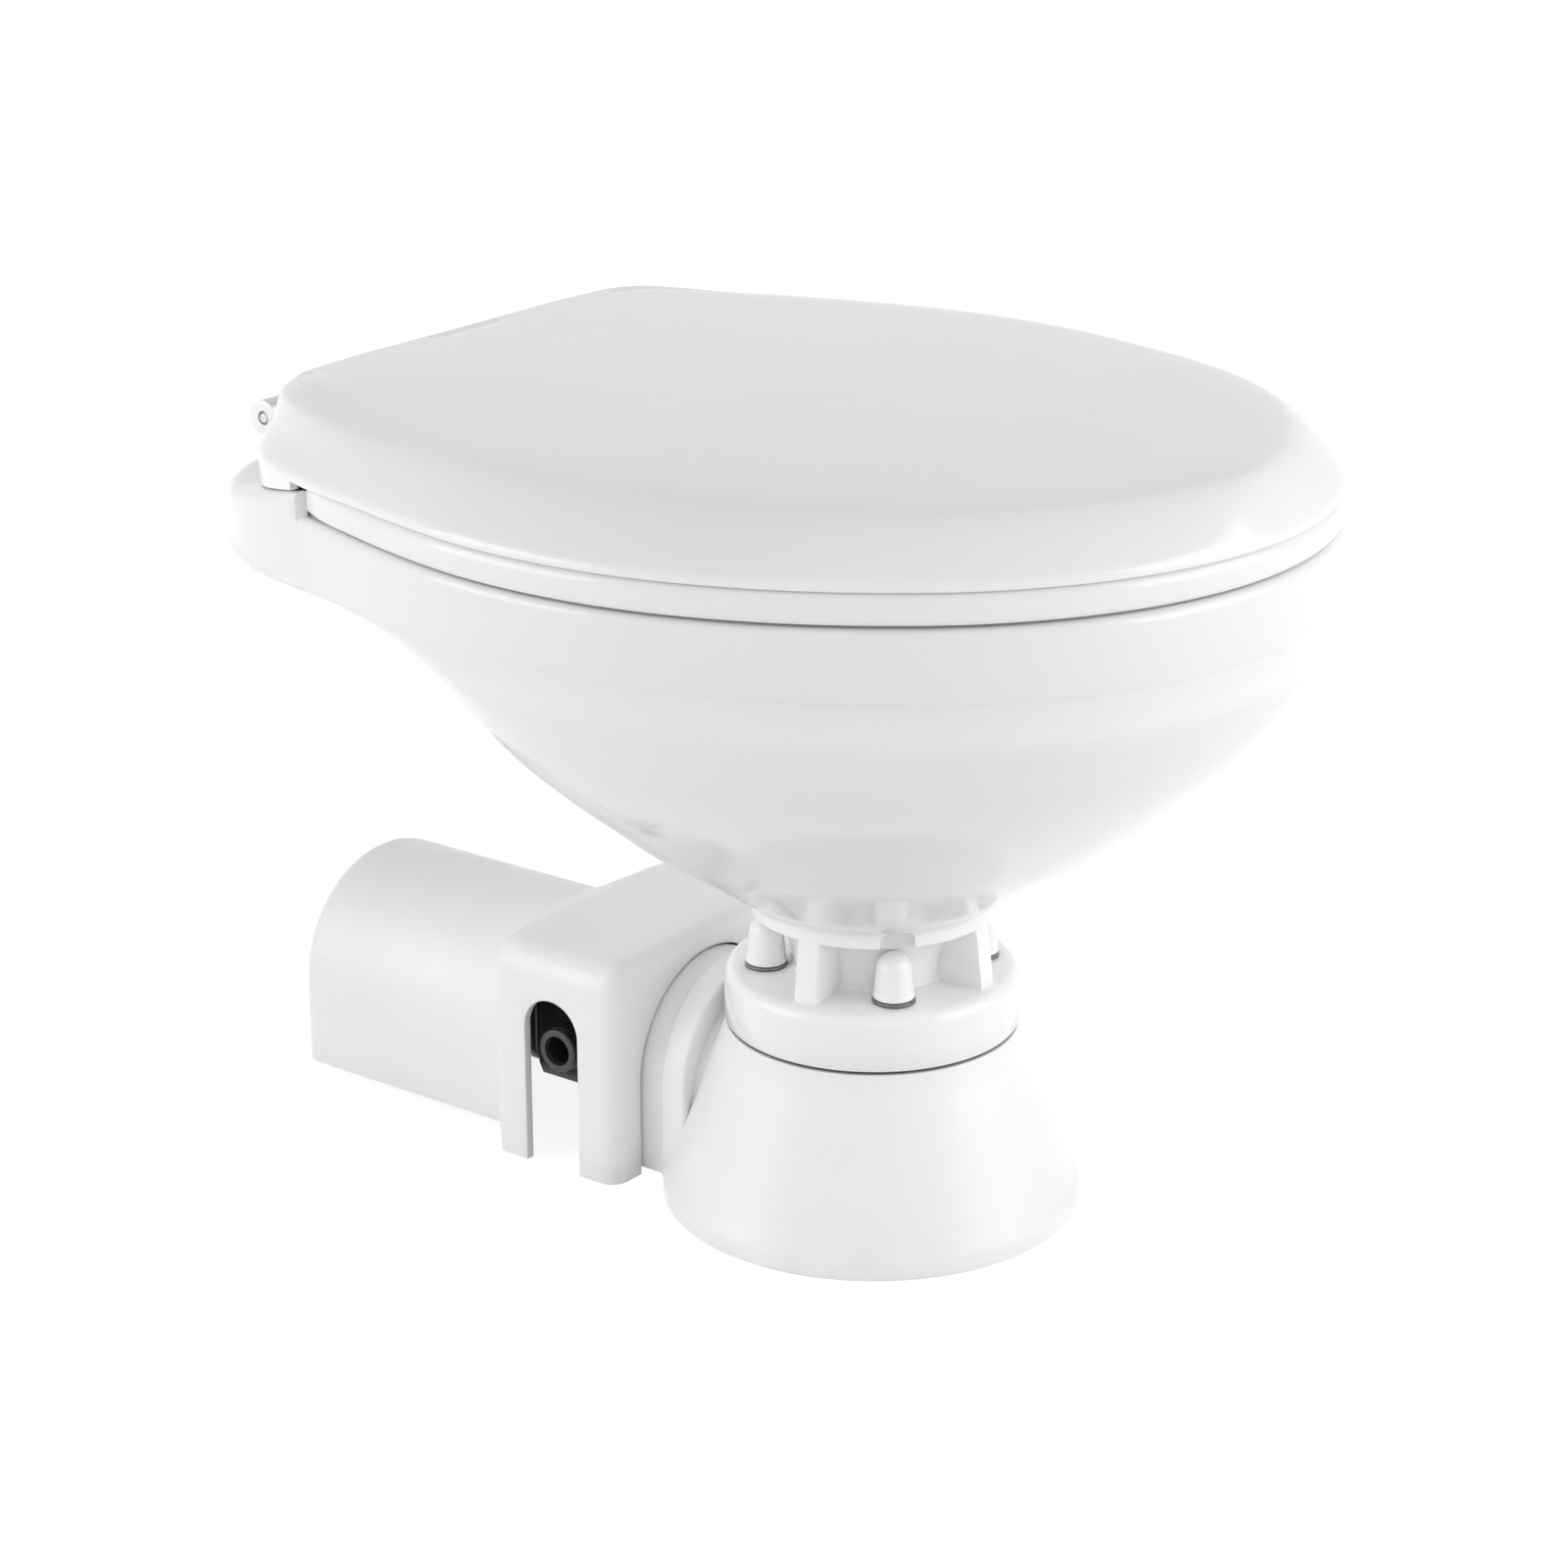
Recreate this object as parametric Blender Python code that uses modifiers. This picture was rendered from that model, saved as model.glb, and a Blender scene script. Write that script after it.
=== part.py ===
"""Electric marine toilet: china bowl on a round base, seat and lid, covered macerator pump and motor.

Metres, +Z up, floor at z = 0. The front of the bowl faces -Y and the motor lies behind, along +Y.
The pieces are drawn about the pedestal's upright axis and hang on one empty that stands there.
"""

import math

import bmesh
import bpy
from mathutils import Matrix, Vector

# Fits, and how far every cutter runs past what it cuts
FIT = 0.0003
RUNNING_GAP = 0.0006
SEAT_REST_GAP = 0.0014
OVERRUN = 0.006

# Base moulding
BASE_RADIUS = 0.0863
BASE_TOP_RADIUS = 0.0602
BASE_HEIGHT = 0.0775
BASE_EDGE = 0.0018
BASE_SKIRT = 0.008
BASE_WALL = 0.006
BASE_TOP_PLATE = 0.010
SUMP_STEP = 0.001
SUMP_WALL = 0.008
SUMP_FLOOR = 0.014
BOSS_RADIUS = 0.009

# Collar and flange behind the base's cone, which carry the pump
COLLAR_MARGIN = 0.009
COLLAR_RISE = 0.036
COLLAR_GAP = 0.0013
COLLAR_LENGTH = 0.0125
COLLAR_LIFT = 0.0012
FLANGE_LENGTH = 0.014
FLANGE_STEP = 0.0018
FAIRING_STEP = 0.006

# Bowl to base joint
GASKET_THICKNESS = 0.0019
GASKET_INSET = 0.0002
FOOT_THICKNESS = 0.022
FOOT_EDGE = 0.005

# Hold-down bolts with washers and finger caps, in the recesses between the foot's four webs
BOLT_INSET = 0.0167
BOLT_TURN = 46.4
BOLT_RADIUS = 0.003
BOLT_HEAD_RADIUS = 0.0058
BOLT_HEAD_HEIGHT = 0.0055
BOLT_END_HEIGHT = 0.004
WASHER_RADIUS = 0.0088
WASHER_THICKNESS = 0.0016
CAP_RADIUS = 0.0083
CAP_HEIGHT = 0.019
CAP_WALL = 0.0018
WEB_INSET = 0.0042
WEB_HALF_ANGLE = 10.0
RECESS_ROOM = 0.0012
RECESS_HEIGHT = 0.024
NOTCH_RADIUS = 0.0085
NOTCH_HEIGHT = 0.044

# Bowl
RIM_HEIGHT = 0.298
HALF_WIDTH = 0.187
OUTLINE_CENTRE_Y = 0.020
NECK_INSET = 0.0097
NECK_RISE = 0.026
RIM_BAND = 0.030
RIM_TAPER = 0.005
RIM_EDGE = 0.0035
DECK_EDGE = 0.0085
RIM_SIDE_WIDTH = 0.046
RIM_FRONT_WIDTH = 0.047
RIM_REAR_WIDTH = 0.069
RIM_LIP = 0.026
OUTLET_WALL = 0.0105
SPUD_RADIUS = 0.015
SPUD_REAR = 0.082
SPUD_RISE = 0.011
SPUD_BORE = 0.008
SPUD_DEPTH = 0.016

# Seat and lid
SEAT_THICKNESS = 0.012
SEAT_SIDE_WIDTH = 0.075
SEAT_END_WIDTH = 0.059
SEAT_HOLE_Y = -0.004
SEAT_EDGE = 0.003
LID_WALL = 0.0036
LID_SIDE_HEIGHT = 0.0235
LID_DOME = 0.0022
LID_SKIRT_DROP = 0.0116
LID_SKIRT_REACH = 0.0698
BUMPER_RADIUS = 0.008
BUMPER_SINK = 0.004

# Hinge on the deck
HINGE_INSET = 0.0185
HINGE_HEIGHT = 0.016
HINGE_X = 0.075
POST_WIDTH = 0.018
POST_DEPTH = 0.0145
LUG_WIDTH = 0.0155
LUG_RADIUS = 0.0073
LUG_REACH = 0.030
PIN_RADIUS = 0.0025
HINGE_BOLT_RADIUS = 0.0025
HINGE_BOLT_DEPTH = 0.010
SPOTFACE_RADIUS = 0.0085
SPOTFACE_HEIGHT = 0.029
HINGE_WASHER_THICKNESS = 0.0014

# Pump and motor, along Y on one shaft line
AXIS_DROP = 0.0255
PUMP_HALF_WIDTH = 0.038
PUMP_HALF_HEIGHT = 0.028
PUMP_CORNER = 0.008
PUMP_EDGE = 0.0009
CHAMBER_RADIUS = 0.0235
INLET_RADIUS = 0.018
FLANGE_GASKET_THICKNESS = 0.002
MACERATOR_LENGTH = 0.0145
PUMP_LENGTH = 0.042
CHAMBER_DEPTH = 0.028
WEAR_PLATE_THICKNESS = 0.0015
MOTOR_PLATE_THICKNESS = 0.006
MOTOR_PLATE_HALF_HEIGHT = 0.0225
MOTOR_RADIUS = 0.0317
MOTOR_LENGTH = 0.098
MOTOR_EDGE = 0.002
MOTOR_END_LENGTH = 0.010
SHAFT_RADIUS = 0.004
SCREW_INSET_X = 0.007
SCREW_INSET_Z = 0.011
SCREW_RADIUS = 0.0020
SCREW_DEPTH = 0.010
PORT_RADIUS = 0.0095
PORT_BORE = 0.0065
PORT_REACH = 0.057
PORT_OFFSET = 0.0126
PORT_RING_LENGTH = 0.003
MOTOR_FOOT_LENGTH = 0.024
MOTOR_FOOT_HALF_WIDTH = 0.034
MOTOR_FOOT_PLATE = 0.004

# Cover moulding over pump and motor
COVER_WALL = 0.004
COVER_OVERLAP = 0.0035
COVER_BOX_HALF_WIDTH = 0.064
COVER_BOX_RISE = 0.044
COVER_BOX_CORNER = 0.012
COVER_EDGE = 0.008
COVER_FLARE = 0.009
COVER_REAR_ROOM = 0.0057
COVER_MOUTH_GAP = 0.0006
TUNNEL_HALF_WIDTH = 0.052
TUNNEL_RISE = 0.042
TUNNEL_LIFT = 0.006
SLOT_HALF_WIDTH = 0.0143
SLOT_RISE = 0.0237

# Plan outlines, each 10 degrees from front to rear: radius over half width
RIM_SHARES = (1.088, 1.084, 1.073, 1.057, 1.040, 1.021, 1.009, 1.004, 1.004, 1.007,
              1.014, 1.026, 1.057, 1.150, 1.275, 1.330, 1.290, 1.247, 1.230)
SEAT_SHARES = (1.088, 1.084, 1.073, 1.057, 1.039, 1.020, 1.009, 1.004, 1.004, 1.007,
               1.014, 1.026, 1.054, 1.102, 1.128, 1.118, 1.055, 1.003, 0.985)
LID_SHARES = (1.088, 1.084, 1.073, 1.057, 1.039, 1.020, 1.009, 1.004, 1.004, 1.007,
              1.014, 1.026, 1.058, 1.128, 1.198, 1.205, 1.138, 1.096, 1.080)
LID_CROWN_SHARES = (0.974, 0.969, 0.957, 0.942, 0.924, 0.905, 0.893, 0.887, 0.885, 0.889,
                    0.898, 0.915, 0.952, 1.025, 1.104, 1.122, 1.075, 1.041, 1.029)
# How much of the rim's taper and of the deck's larger edge applies, each 30 degrees from front to rear
TAPER_SHARES = (0.0, 0.0, 0.3, 0.8, 0.5, 0.0, 0.0)
DECK_EDGE_SHARES = (0.0, 0.0, 0.0, 0.0, 0.2, 1.0, 1.0)

# Bowl body from neck to deck: height share, then side, front and rear over half width, then how far
# the ring's centre has moved from the pedestal's axis to the outline's centre
BODY_SHARES = (
    (0.025, 0.280, 0.280, 0.270, 0.0),
    (0.070, 0.337, 0.331, 0.266, 0.1),
    (0.160, 0.449, 0.444, 0.345, 0.2),
    (0.247, 0.567, 0.559, 0.442, 0.3),
    (0.335, 0.663, 0.658, 0.532, 0.45),
    (0.424, 0.757, 0.749, 0.619, 0.6),
    (0.512, 0.838, 0.832, 0.712, 0.7),
    (0.600, 0.905, 0.900, 0.801, 0.8),
    (0.676, 0.945, 0.945, 0.898, 0.9),
    (0.735, 0.962, 0.970, 0.994, 1.0),
)
# Basin inside, below the rim's lip, in the same terms
BASIN_SHARES = (
    (0.800, 0.850, 0.860, 0.735, 0.8),
    (0.700, 0.875, 0.880, 0.765, 0.7),
    (0.600, 0.835, 0.830, 0.735, 0.6),
    (0.424, 0.685, 0.675, 0.565, 0.4),
    (0.247, 0.490, 0.480, 0.375, 0.2),
    (0.110, 0.310, 0.300, 0.235, 0.1),
)
# Lid's side: height share, then share of the way from its lower edge to its crown
LID_SIDE_SHARES = ((0.00, 0.02), (0.45, 0.36), (0.78, 0.78), (0.92, 1.10), (1.00, 1.50))
# Lid's top: plan share, then share of the dome's rise
LID_TOP_SHARES = ((0.70, 0.55), (0.25, 1.0))
# Seat bumpers: across and along over half width
BUMPER_SHARES = (("fl", -0.818, -0.214), ("fr", 0.818, -0.214), ("rl", -0.727, 0.642), ("rr", 0.727, 0.642))

OUTLINE_STEPS = 36
ROUND_STEPS = 20
SMALL_STEPS = 10
BLADES = 2
VANES = 5
SIDES = (("l", -1), ("r", 1))
CORNERS = (("fl", -1, -1), ("fr", 1, -1), ("rl", -1, 1), ("rr", 1, 1))
SCREW_CORNERS = (("1", -1, -1), ("2", 1, -1), ("3", -1, 1), ("4", 1, 1))

# Stack of heights from the base up, on the pedestal's axis
hollow_top = BASE_HEIGHT - BASE_TOP_PLATE
foot_bottom = BASE_HEIGHT + GASKET_THICKNESS + 2 * FIT
foot_top = foot_bottom + FOOT_THICKNESS
recess_top = foot_top + RECESS_HEIGHT
washer_bottom = foot_top + FIT
head_bottom = washer_bottom + WASHER_THICKNESS + FIT
neck_top = foot_top + NECK_RISE
spud_height = neck_top + SPUD_RISE
body_span = RIM_HEIGHT - neck_top
band_bottom = RIM_HEIGHT - RIM_BAND
seat_bottom = RIM_HEIGHT + SEAT_REST_GAP
seat_top = seat_bottom + SEAT_THICKNESS
lid_bottom = seat_top + FIT
skirt_bottom = lid_bottom - LID_SKIRT_DROP
crown = lid_bottom + LID_SIDE_HEIGHT
hinge_z = RIM_HEIGHT + HINGE_HEIGHT
hinge_y = OUTLINE_CENTRE_Y + RIM_SHARES[-1] * HALF_WIDTH - HINGE_INSET

# Plan places that follow the base's top and the bowl's outline
web_radius = BASE_TOP_RADIUS - WEB_INSET
neck_radius = BASE_TOP_RADIUS - NECK_INSET
bolt_circle = BASE_TOP_RADIUS - BOLT_INSET
bolt_x = bolt_circle * math.cos(math.radians(BOLT_TURN))
bolt_y = bolt_circle * math.sin(math.radians(BOLT_TURN))
core_radius = bolt_circle - WASHER_RADIUS - RECESS_ROOM
outlet_radius = core_radius - OUTLET_WALL
sump_radius = outlet_radius + SUMP_STEP
throat_half_width = HALF_WIDTH - RIM_SIDE_WIDTH
throat_front = HALF_WIDTH - RIM_FRONT_WIDTH
throat_rear = HALF_WIDTH - RIM_REAR_WIDTH
seat_hole_half_width = HALF_WIDTH - SEAT_SIDE_WIDTH
seat_hole_half_length = HALF_WIDTH - SEAT_END_WIDTH

# Stack of places along the shaft, from the base's collar to the cover's rear
axis_height = BASE_HEIGHT - AXIS_DROP
collar_half_width = PUMP_HALF_WIDTH + COLLAR_MARGIN
collar_height = axis_height + COLLAR_RISE
collar_front = BASE_TOP_RADIUS + COLLAR_GAP
collar_rear = collar_front + COLLAR_LENGTH
flange_front = (collar_front + collar_rear) / 2
flange_rear = collar_rear + FLANGE_LENGTH
flange_gasket_front = flange_rear + FIT
macerator_front = flange_gasket_front + FLANGE_GASKET_THICKNESS + FIT
macerator_rear = macerator_front + MACERATOR_LENGTH
pump_front = macerator_rear + FIT
pump_rear = pump_front + PUMP_LENGTH
port_y = pump_front + PORT_OFFSET
plate_front = pump_rear + FIT
plate_rear = plate_front + MOTOR_PLATE_THICKNESS
motor_front = plate_rear + FIT
motor_rear = motor_front + MOTOR_LENGTH
motor_end_front = motor_rear + FIT
motor_end_rear = motor_end_front + MOTOR_END_LENGTH
screw_x = PUMP_HALF_WIDTH - SCREW_INSET_X
screw_z = PUMP_HALF_HEIGHT - SCREW_INSET_Z
screw_tip = flange_rear - SCREW_DEPTH
cover_front = flange_rear - COVER_OVERLAP
cover_box_rear = pump_rear
cover_rear = motor_end_rear + COVER_REAR_ROOM + COVER_WALL

# The pedestal stands so that the whole object is centred over the origin
bowl_front = OUTLINE_CENTRE_Y - RIM_SHARES[0] * HALF_WIDTH
pedestal_y = -(cover_rear + bowl_front) / 2

for leftover in list(bpy.data.objects):
    bpy.data.objects.remove(leftover)

part_set = bpy.data.collections.new("marine_toilet")
cutter_set = bpy.data.collections.new("cutters")
cutter_set.hide_render = True
for made_set in (part_set, cutter_set):
    bpy.context.scene.collection.children.link(made_set)

pedestal = bpy.data.objects.new("pedestal_axis", None)
pedestal.location = (0.0, pedestal_y, 0.0)
part_set.objects.link(pedestal)


def material(name, colour, roughness, metallic=0.0):
    made = bpy.data.materials.new(name)
    made.use_nodes = True
    shader = made.node_tree.nodes["Principled BSDF"]
    shader.inputs["Base Color"].default_value = (*colour, 1.0)
    shader.inputs["Roughness"].default_value = roughness
    shader.inputs["Metallic"].default_value = metallic
    made.diffuse_color = (*colour, 1.0)
    return made


CHINA = material("china", (0.86, 0.87, 0.87), 0.08)
ENAMEL = material("seat_white", (0.88, 0.88, 0.87), 0.16)
MOULDING = material("moulding_white", (0.80, 0.80, 0.79), 0.32)
CAP_WHITE = material("cap_white", (0.84, 0.84, 0.83), 0.28)
RUBBER = material("rubber_black", (0.02, 0.02, 0.02), 0.75)
GREY_RUBBER = material("rubber_grey", (0.30, 0.30, 0.30), 0.70)
STEEL = material("stainless", (0.62, 0.61, 0.59), 0.25, 1.0)
BLACK = material("pump_black", (0.025, 0.025, 0.027), 0.42)
MOTOR_PAINT = material("motor_black", (0.03, 0.03, 0.032), 0.35)
GREY = material("port_grey", (0.10, 0.10, 0.11), 0.45)
CARBON = material("seal_carbon", (0.06, 0.06, 0.06), 0.50)
BLADE_STEEL = material("blade_steel", (0.58, 0.57, 0.55), 0.30, 1.0)


def finish(mesh_data, name, slot=None):
    """Object for a mesh: a piece when it has a material slot, otherwise a cutter."""
    made = bpy.data.objects.new(name, mesh_data)
    made.parent = pedestal
    if slot is None:
        cutter_set.objects.link(made)
        made.hide_render = True
        made.display_type = "WIRE"
    else:
        part_set.objects.link(made)
        mesh_data.materials.append(slot)
    mesh_data.shade_smooth()
    mesh_data.set_sharp_from_angle(angle=math.radians(35))
    return made


def from_bmesh(work, name, slot):
    bmesh.ops.recalc_face_normals(work, faces=work.faces)
    mesh_data = bpy.data.meshes.new(name)
    work.to_mesh(mesh_data)
    work.free()
    return finish(mesh_data, name, slot)


def read_evaluated(carrier):
    """Editable mesh of what a curve or a modifier makes, its loose seams welded and its carrier removed."""
    bpy.context.scene.collection.objects.link(carrier)
    bpy.context.view_layer.update()
    made = bpy.data.meshes.new_from_object(carrier.evaluated_get(bpy.context.evaluated_depsgraph_get()))
    bpy.data.objects.remove(carrier)
    work = bmesh.new()
    work.from_mesh(made)
    bpy.data.meshes.remove(made)
    bmesh.ops.remove_doubles(work, verts=work.verts, dist=0.00001)
    bmesh.ops.dissolve_limit(work, angle_limit=math.radians(0.2), verts=work.verts, edges=work.edges)
    return work


def lay_along(work, axis, centre):
    """Turns what stands along Z to lie along an axis, then moves it to its centre."""
    turn = Matrix.Identity(4)
    if axis == "Y":
        turn = Matrix.Rotation(math.radians(-90), 4, "X")
    if axis == "X":
        turn = Matrix.Rotation(math.radians(90), 4, "Y")
    bmesh.ops.transform(work, matrix=Matrix.Translation(Vector(centre)) @ turn, verts=work.verts)


def skin(name, rows, slot=None, wrap=True, loop=False, caps=(True, True)):
    """Skin through rows of equally many points. Wrap closes each row, and loop joins the last to the first."""
    work = bmesh.new()
    lines = [[work.verts.new(point) for point in row] for row in rows]
    count = len(lines[0])
    pairs = list(zip(lines, lines[1:]))
    if loop:
        pairs.append((lines[-1], lines[0]))
    for low, high in pairs:
        for i in range(count if wrap else count - 1):
            j = (i + 1) % count
            work.faces.new((low[i], low[j], high[j], high[i]))
    for capped, line in zip(caps, (lines[0], lines[-1])):
        if capped and not loop:
            work.faces.new(line)
    return from_bmesh(work, name, slot)


def turned(name, profile, centre, slot=None, axis="Z", steps=ROUND_STEPS):
    """Turns a profile of (radius, along) points, listed top to bottom, about an axis through centre."""
    mesh_data = bpy.data.meshes.new(name + "_profile")
    edges = [(i, i + 1) for i in range(len(profile) - 1)]
    if profile[0][0] > 0.0:
        edges.append((len(profile) - 1, 0))
    mesh_data.from_pydata([(radius, 0.0, along) for radius, along in profile], edges, [])
    carrier = bpy.data.objects.new(name + "_profile", mesh_data)
    screw = carrier.modifiers.new("turn", "SCREW")
    screw.steps = steps
    screw.render_steps = steps
    screw.use_merge_vertices = True
    screw.merge_threshold = 0.00001
    work = read_evaluated(carrier)
    lay_along(work, axis, centre)
    return from_bmesh(work, name, slot)


def break_rims(work, edge):
    """Bevels the rims of both ends of a solid that stands centred along Z."""
    if edge > 0.0:
        rims = [line for line in work.edges if line.verts[0].co.z * line.verts[1].co.z > 0.0]
        bmesh.ops.bevel(work, geom=rims, offset=edge, segments=1, profile=0.5, affect="EDGES")


def rod(name, radius, start, length, slot=None, axis="Z", steps=SMALL_STEPS, edge=0.0):
    """Round bar from start along an axis, its two rims broken by edge."""
    work = bmesh.new()
    bmesh.ops.create_cone(work, cap_ends=True, segments=steps, radius1=radius, radius2=radius, depth=length)
    break_rims(work, edge)
    bmesh.ops.translate(work, vec=(0.0, 0.0, length / 2), verts=work.verts)
    lay_along(work, axis, start)
    return from_bmesh(work, name, slot)


def tube(name, outer, inner, start, length, slot=None, axis="Z", steps=ROUND_STEPS, edge=0.0):
    """Round ring from start along an axis, its outer rims broken by edge."""
    profile = [(inner, length), (outer - edge, length), (outer, length - edge),
               (outer, edge), (outer - edge, 0.0), (inner, 0.0)]
    if edge == 0.0:
        profile = [(inner, length), (outer, length), (outer, 0.0), (inner, 0.0)]
    return turned(name, profile, start, slot, axis, steps)


def block(name, low, high, slot=None):
    """Box between two corners."""
    work = bmesh.new()
    bmesh.ops.create_cube(work, size=1.0)
    bmesh.ops.scale(work, vec=Vector(high) - Vector(low), verts=work.verts)
    bmesh.ops.translate(work, vec=(Vector(high) + Vector(low)) / 2, verts=work.verts)
    return from_bmesh(work, name, slot)


def slab(name, outline, start, stop, slot=None, axis="Y", edge=0.0):
    """Flat outline of (across, up) points, given thickness from start to stop, its rims broken by edge."""
    curve = bpy.data.curves.new(name, "CURVE")
    curve.dimensions = "2D"
    curve.fill_mode = "BOTH"
    curve.extrude = (stop - start) / 2
    line = curve.splines.new("POLY")
    line.points.add(len(outline) - 1)
    for point, (across, up) in zip(line.points, outline):
        point.co = (across, up, 0.0, 1.0)
    line.use_cyclic_u = True
    work = read_evaluated(bpy.data.objects.new(name + "_outline", curve))
    bpy.data.curves.remove(curve)
    break_rims(work, edge)
    middle = (start + stop) / 2
    if axis == "X":
        turn = Matrix(((0, 0, 1, middle), (1, 0, 0, 0), (0, 1, 0, 0), (0, 0, 0, 1)))
    elif axis == "Y":
        turn = Matrix(((1, 0, 0, 0), (0, 0, -1, middle), (0, 1, 0, 0), (0, 0, 0, 1)))
    else:
        turn = Matrix.Translation((0.0, 0.0, middle))
    bmesh.ops.transform(work, matrix=turn, verts=work.verts)
    return from_bmesh(work, name, slot)


def solidify(target, wall):
    """Gives an open skin its wall, inwards."""
    step = target.modifiers.new("wall", "SOLIDIFY")
    step.thickness = wall
    step.offset = -1.0
    step.use_even_offset = True


def combine(target, tool, operation):
    step = target.modifiers.new(operation.lower(), "BOOLEAN")
    step.operation = operation
    step.solver = "EXACT"
    step.object = tool


def cut(target, tool):
    combine(target, tool, "DIFFERENCE")


def join(target, extra):
    combine(target, extra, "UNION")


def turn_on(piece, point):
    """Puts a moving piece's origin on its joint's axis."""
    piece.data.transform(Matrix.Translation(-Vector(point)))
    piece.location = point


def dome(radius, top, steps):
    """Quarter circle of (radius, along) points from a pole at top down to its full radius."""
    turns = [math.pi / 2 * i / steps for i in range(steps + 1)]
    return [(radius * math.sin(turn), top - radius * (1 - math.cos(turn))) for turn in turns]


def arch(half_width, height, foot, steps=12, centre=0.0):
    """Arch outline: straight sides with a half-round top."""
    points = [(centre - half_width, foot)]
    for i in range(steps + 1):
        turn = math.pi * i / steps
        points.append((centre - half_width * math.cos(turn), height - half_width + half_width * math.sin(turn)))
    points.append((centre + half_width, foot))
    return points


def rounded_box(half_width, half_height, corner, middle, steps=2):
    """Rectangle outline with rounded corners, its middle at a height."""
    points = []
    for quarter, (sx, sz) in enumerate(((1, 1), (-1, 1), (-1, -1), (1, -1))):
        for i in range(steps + 1):
            turn = math.pi / 2 * (quarter + i / steps)
            points.append((sx * (half_width - corner) + corner * math.cos(turn),
                           middle + sz * (half_height - corner) + corner * math.sin(turn)))
    return points


def share_at(shares, angle):
    """Smooth value of a half outline's table at an angle from the front, in degrees."""
    last = len(shares) - 1
    place = abs((angle + 180.0) % 360.0 - 180.0) / 180.0 * last
    low = min(int(place), last - 1)
    part = place - low
    before = shares[abs(low - 1)]
    here = shares[low]
    there = shares[low + 1]
    after = shares[last - abs(last - (low + 2))]
    slope_here = (there - before) / 2
    slope_there = (after - here) / 2
    square = part * part
    cube = square * part
    return ((2 * cube - 3 * square + 1) * here + (cube - 2 * square + part) * slope_here
            + (3 * square - 2 * cube) * there + (cube - square) * slope_there)


ANGLES = [360.0 * i / OUTLINE_STEPS for i in range(OUTLINE_STEPS)]


def plan_point(angle, radius, height):
    """Point about the plan outline's centre at an angle from the front."""
    turn = math.radians(angle)
    return (radius * math.sin(turn), OUTLINE_CENTRE_Y - radius * math.cos(turn), height)


def plan_ring(shares, height, inset=0.0):
    return [plan_point(angle, share_at(shares, angle) * HALF_WIDTH - inset, height) for angle in ANGLES]


def oval_ring(side, front, rear, height, centre=0.0, power=2.05):
    """Rounded oval: half width, reach from the pedestal's axis to front and rear, and its widest place."""
    points = []
    for angle in ANGLES:
        sine = math.sin(math.radians(angle))
        cosine = math.cos(math.radians(angle))
        across = math.copysign(abs(sine) ** (2 / power), sine)
        along = math.copysign(abs(cosine) ** (2 / power), cosine)
        reach = front + centre if cosine > 0 else rear - centre
        points.append((side * across, centre - reach * along, height))
    return points


def circle_ring(radius, height):
    return oval_ring(radius, radius, radius, height, power=2.0)


def scaled_oval(shares):
    """Ring of the bowl's body or basin from one row of its table."""
    level, side, front, rear, shift = shares
    return oval_ring(side * HALF_WIDTH, front * HALF_WIDTH, rear * HALF_WIDTH, neck_top + level * body_span,
                     shift * OUTLINE_CENTRE_Y)


def rim_ring(height, edge_share, drop_share=0.0):
    """Ring of rim and deck: its edge drawn in by a share of the edge radius, and lowered by another."""
    points = []
    for angle in ANGLES:
        deck = share_at(DECK_EDGE_SHARES, angle)
        edge = RIM_EDGE + (DECK_EDGE - RIM_EDGE) * deck
        level = height - edge * drop_share
        taper = RIM_TAPER * share_at(TAPER_SHARES, angle) * (RIM_HEIGHT - level) / RIM_BAND
        radius = share_at(RIM_SHARES, angle) * HALF_WIDTH - edge * edge_share - taper
        points.append(plan_point(angle, radius, level))
    return points


def between(ring_a, ring_b, share):
    return [tuple(a + (b - a) * share for a, b in zip(low, high)) for low, high in zip(ring_a, ring_b)]


# Base: turned cone, hollow below round a central sump, with the arched collar and flange behind
base = turned("base", [
    (0.0, BASE_HEIGHT),
    (BASE_TOP_RADIUS - BASE_EDGE, BASE_HEIGHT),
    (BASE_TOP_RADIUS, BASE_HEIGHT - BASE_EDGE),
    (BASE_RADIUS - BASE_EDGE, BASE_SKIRT + BASE_EDGE),
    (BASE_RADIUS, BASE_SKIRT),
    (BASE_RADIUS, BASE_EDGE),
    (BASE_RADIUS - BASE_EDGE, 0.0),
    (0.0, 0.0),
], (0, 0, 0), MOULDING, steps=32)
sump_outer = sump_radius + SUMP_WALL
skirt_inner = BASE_RADIUS - BASE_EDGE - BASE_WALL
cut(base, turned("base_hollow", [
    (sump_outer, hollow_top),
    (BASE_TOP_RADIUS - BASE_WALL, hollow_top),
    (skirt_inner, BASE_SKIRT),
    (skirt_inner, -OVERRUN),
    (sump_outer, -OVERRUN),
], (0, 0, 0), steps=24))
join(base, slab("base_collar", arch(collar_half_width, collar_height, COLLAR_LIFT), collar_front, collar_rear))
join(base, slab("base_fairing",
                arch(collar_half_width - FAIRING_STEP, BASE_HEIGHT - BASE_EDGE, 2 * COLLAR_LIFT),
                0.75 * BASE_TOP_RADIUS, flange_front))
join(base, slab("base_flange",
                arch(collar_half_width - FLANGE_STEP, collar_height - FLANGE_STEP, 2 * COLLAR_LIFT),
                flange_front, flange_rear))
join(base, rod("base_pipe", INLET_RADIUS + BASE_WALL, (0, sump_radius / 2, axis_height),
               flange_front - sump_radius / 2, axis="Y", steps=ROUND_STEPS))
for tag, side, way in CORNERS:
    join(base, rod("base_boss_" + tag, BOSS_RADIUS, (side * bolt_x, way * bolt_y, 0.0),
                   (BASE_HEIGHT + hollow_top) / 2))
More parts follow.
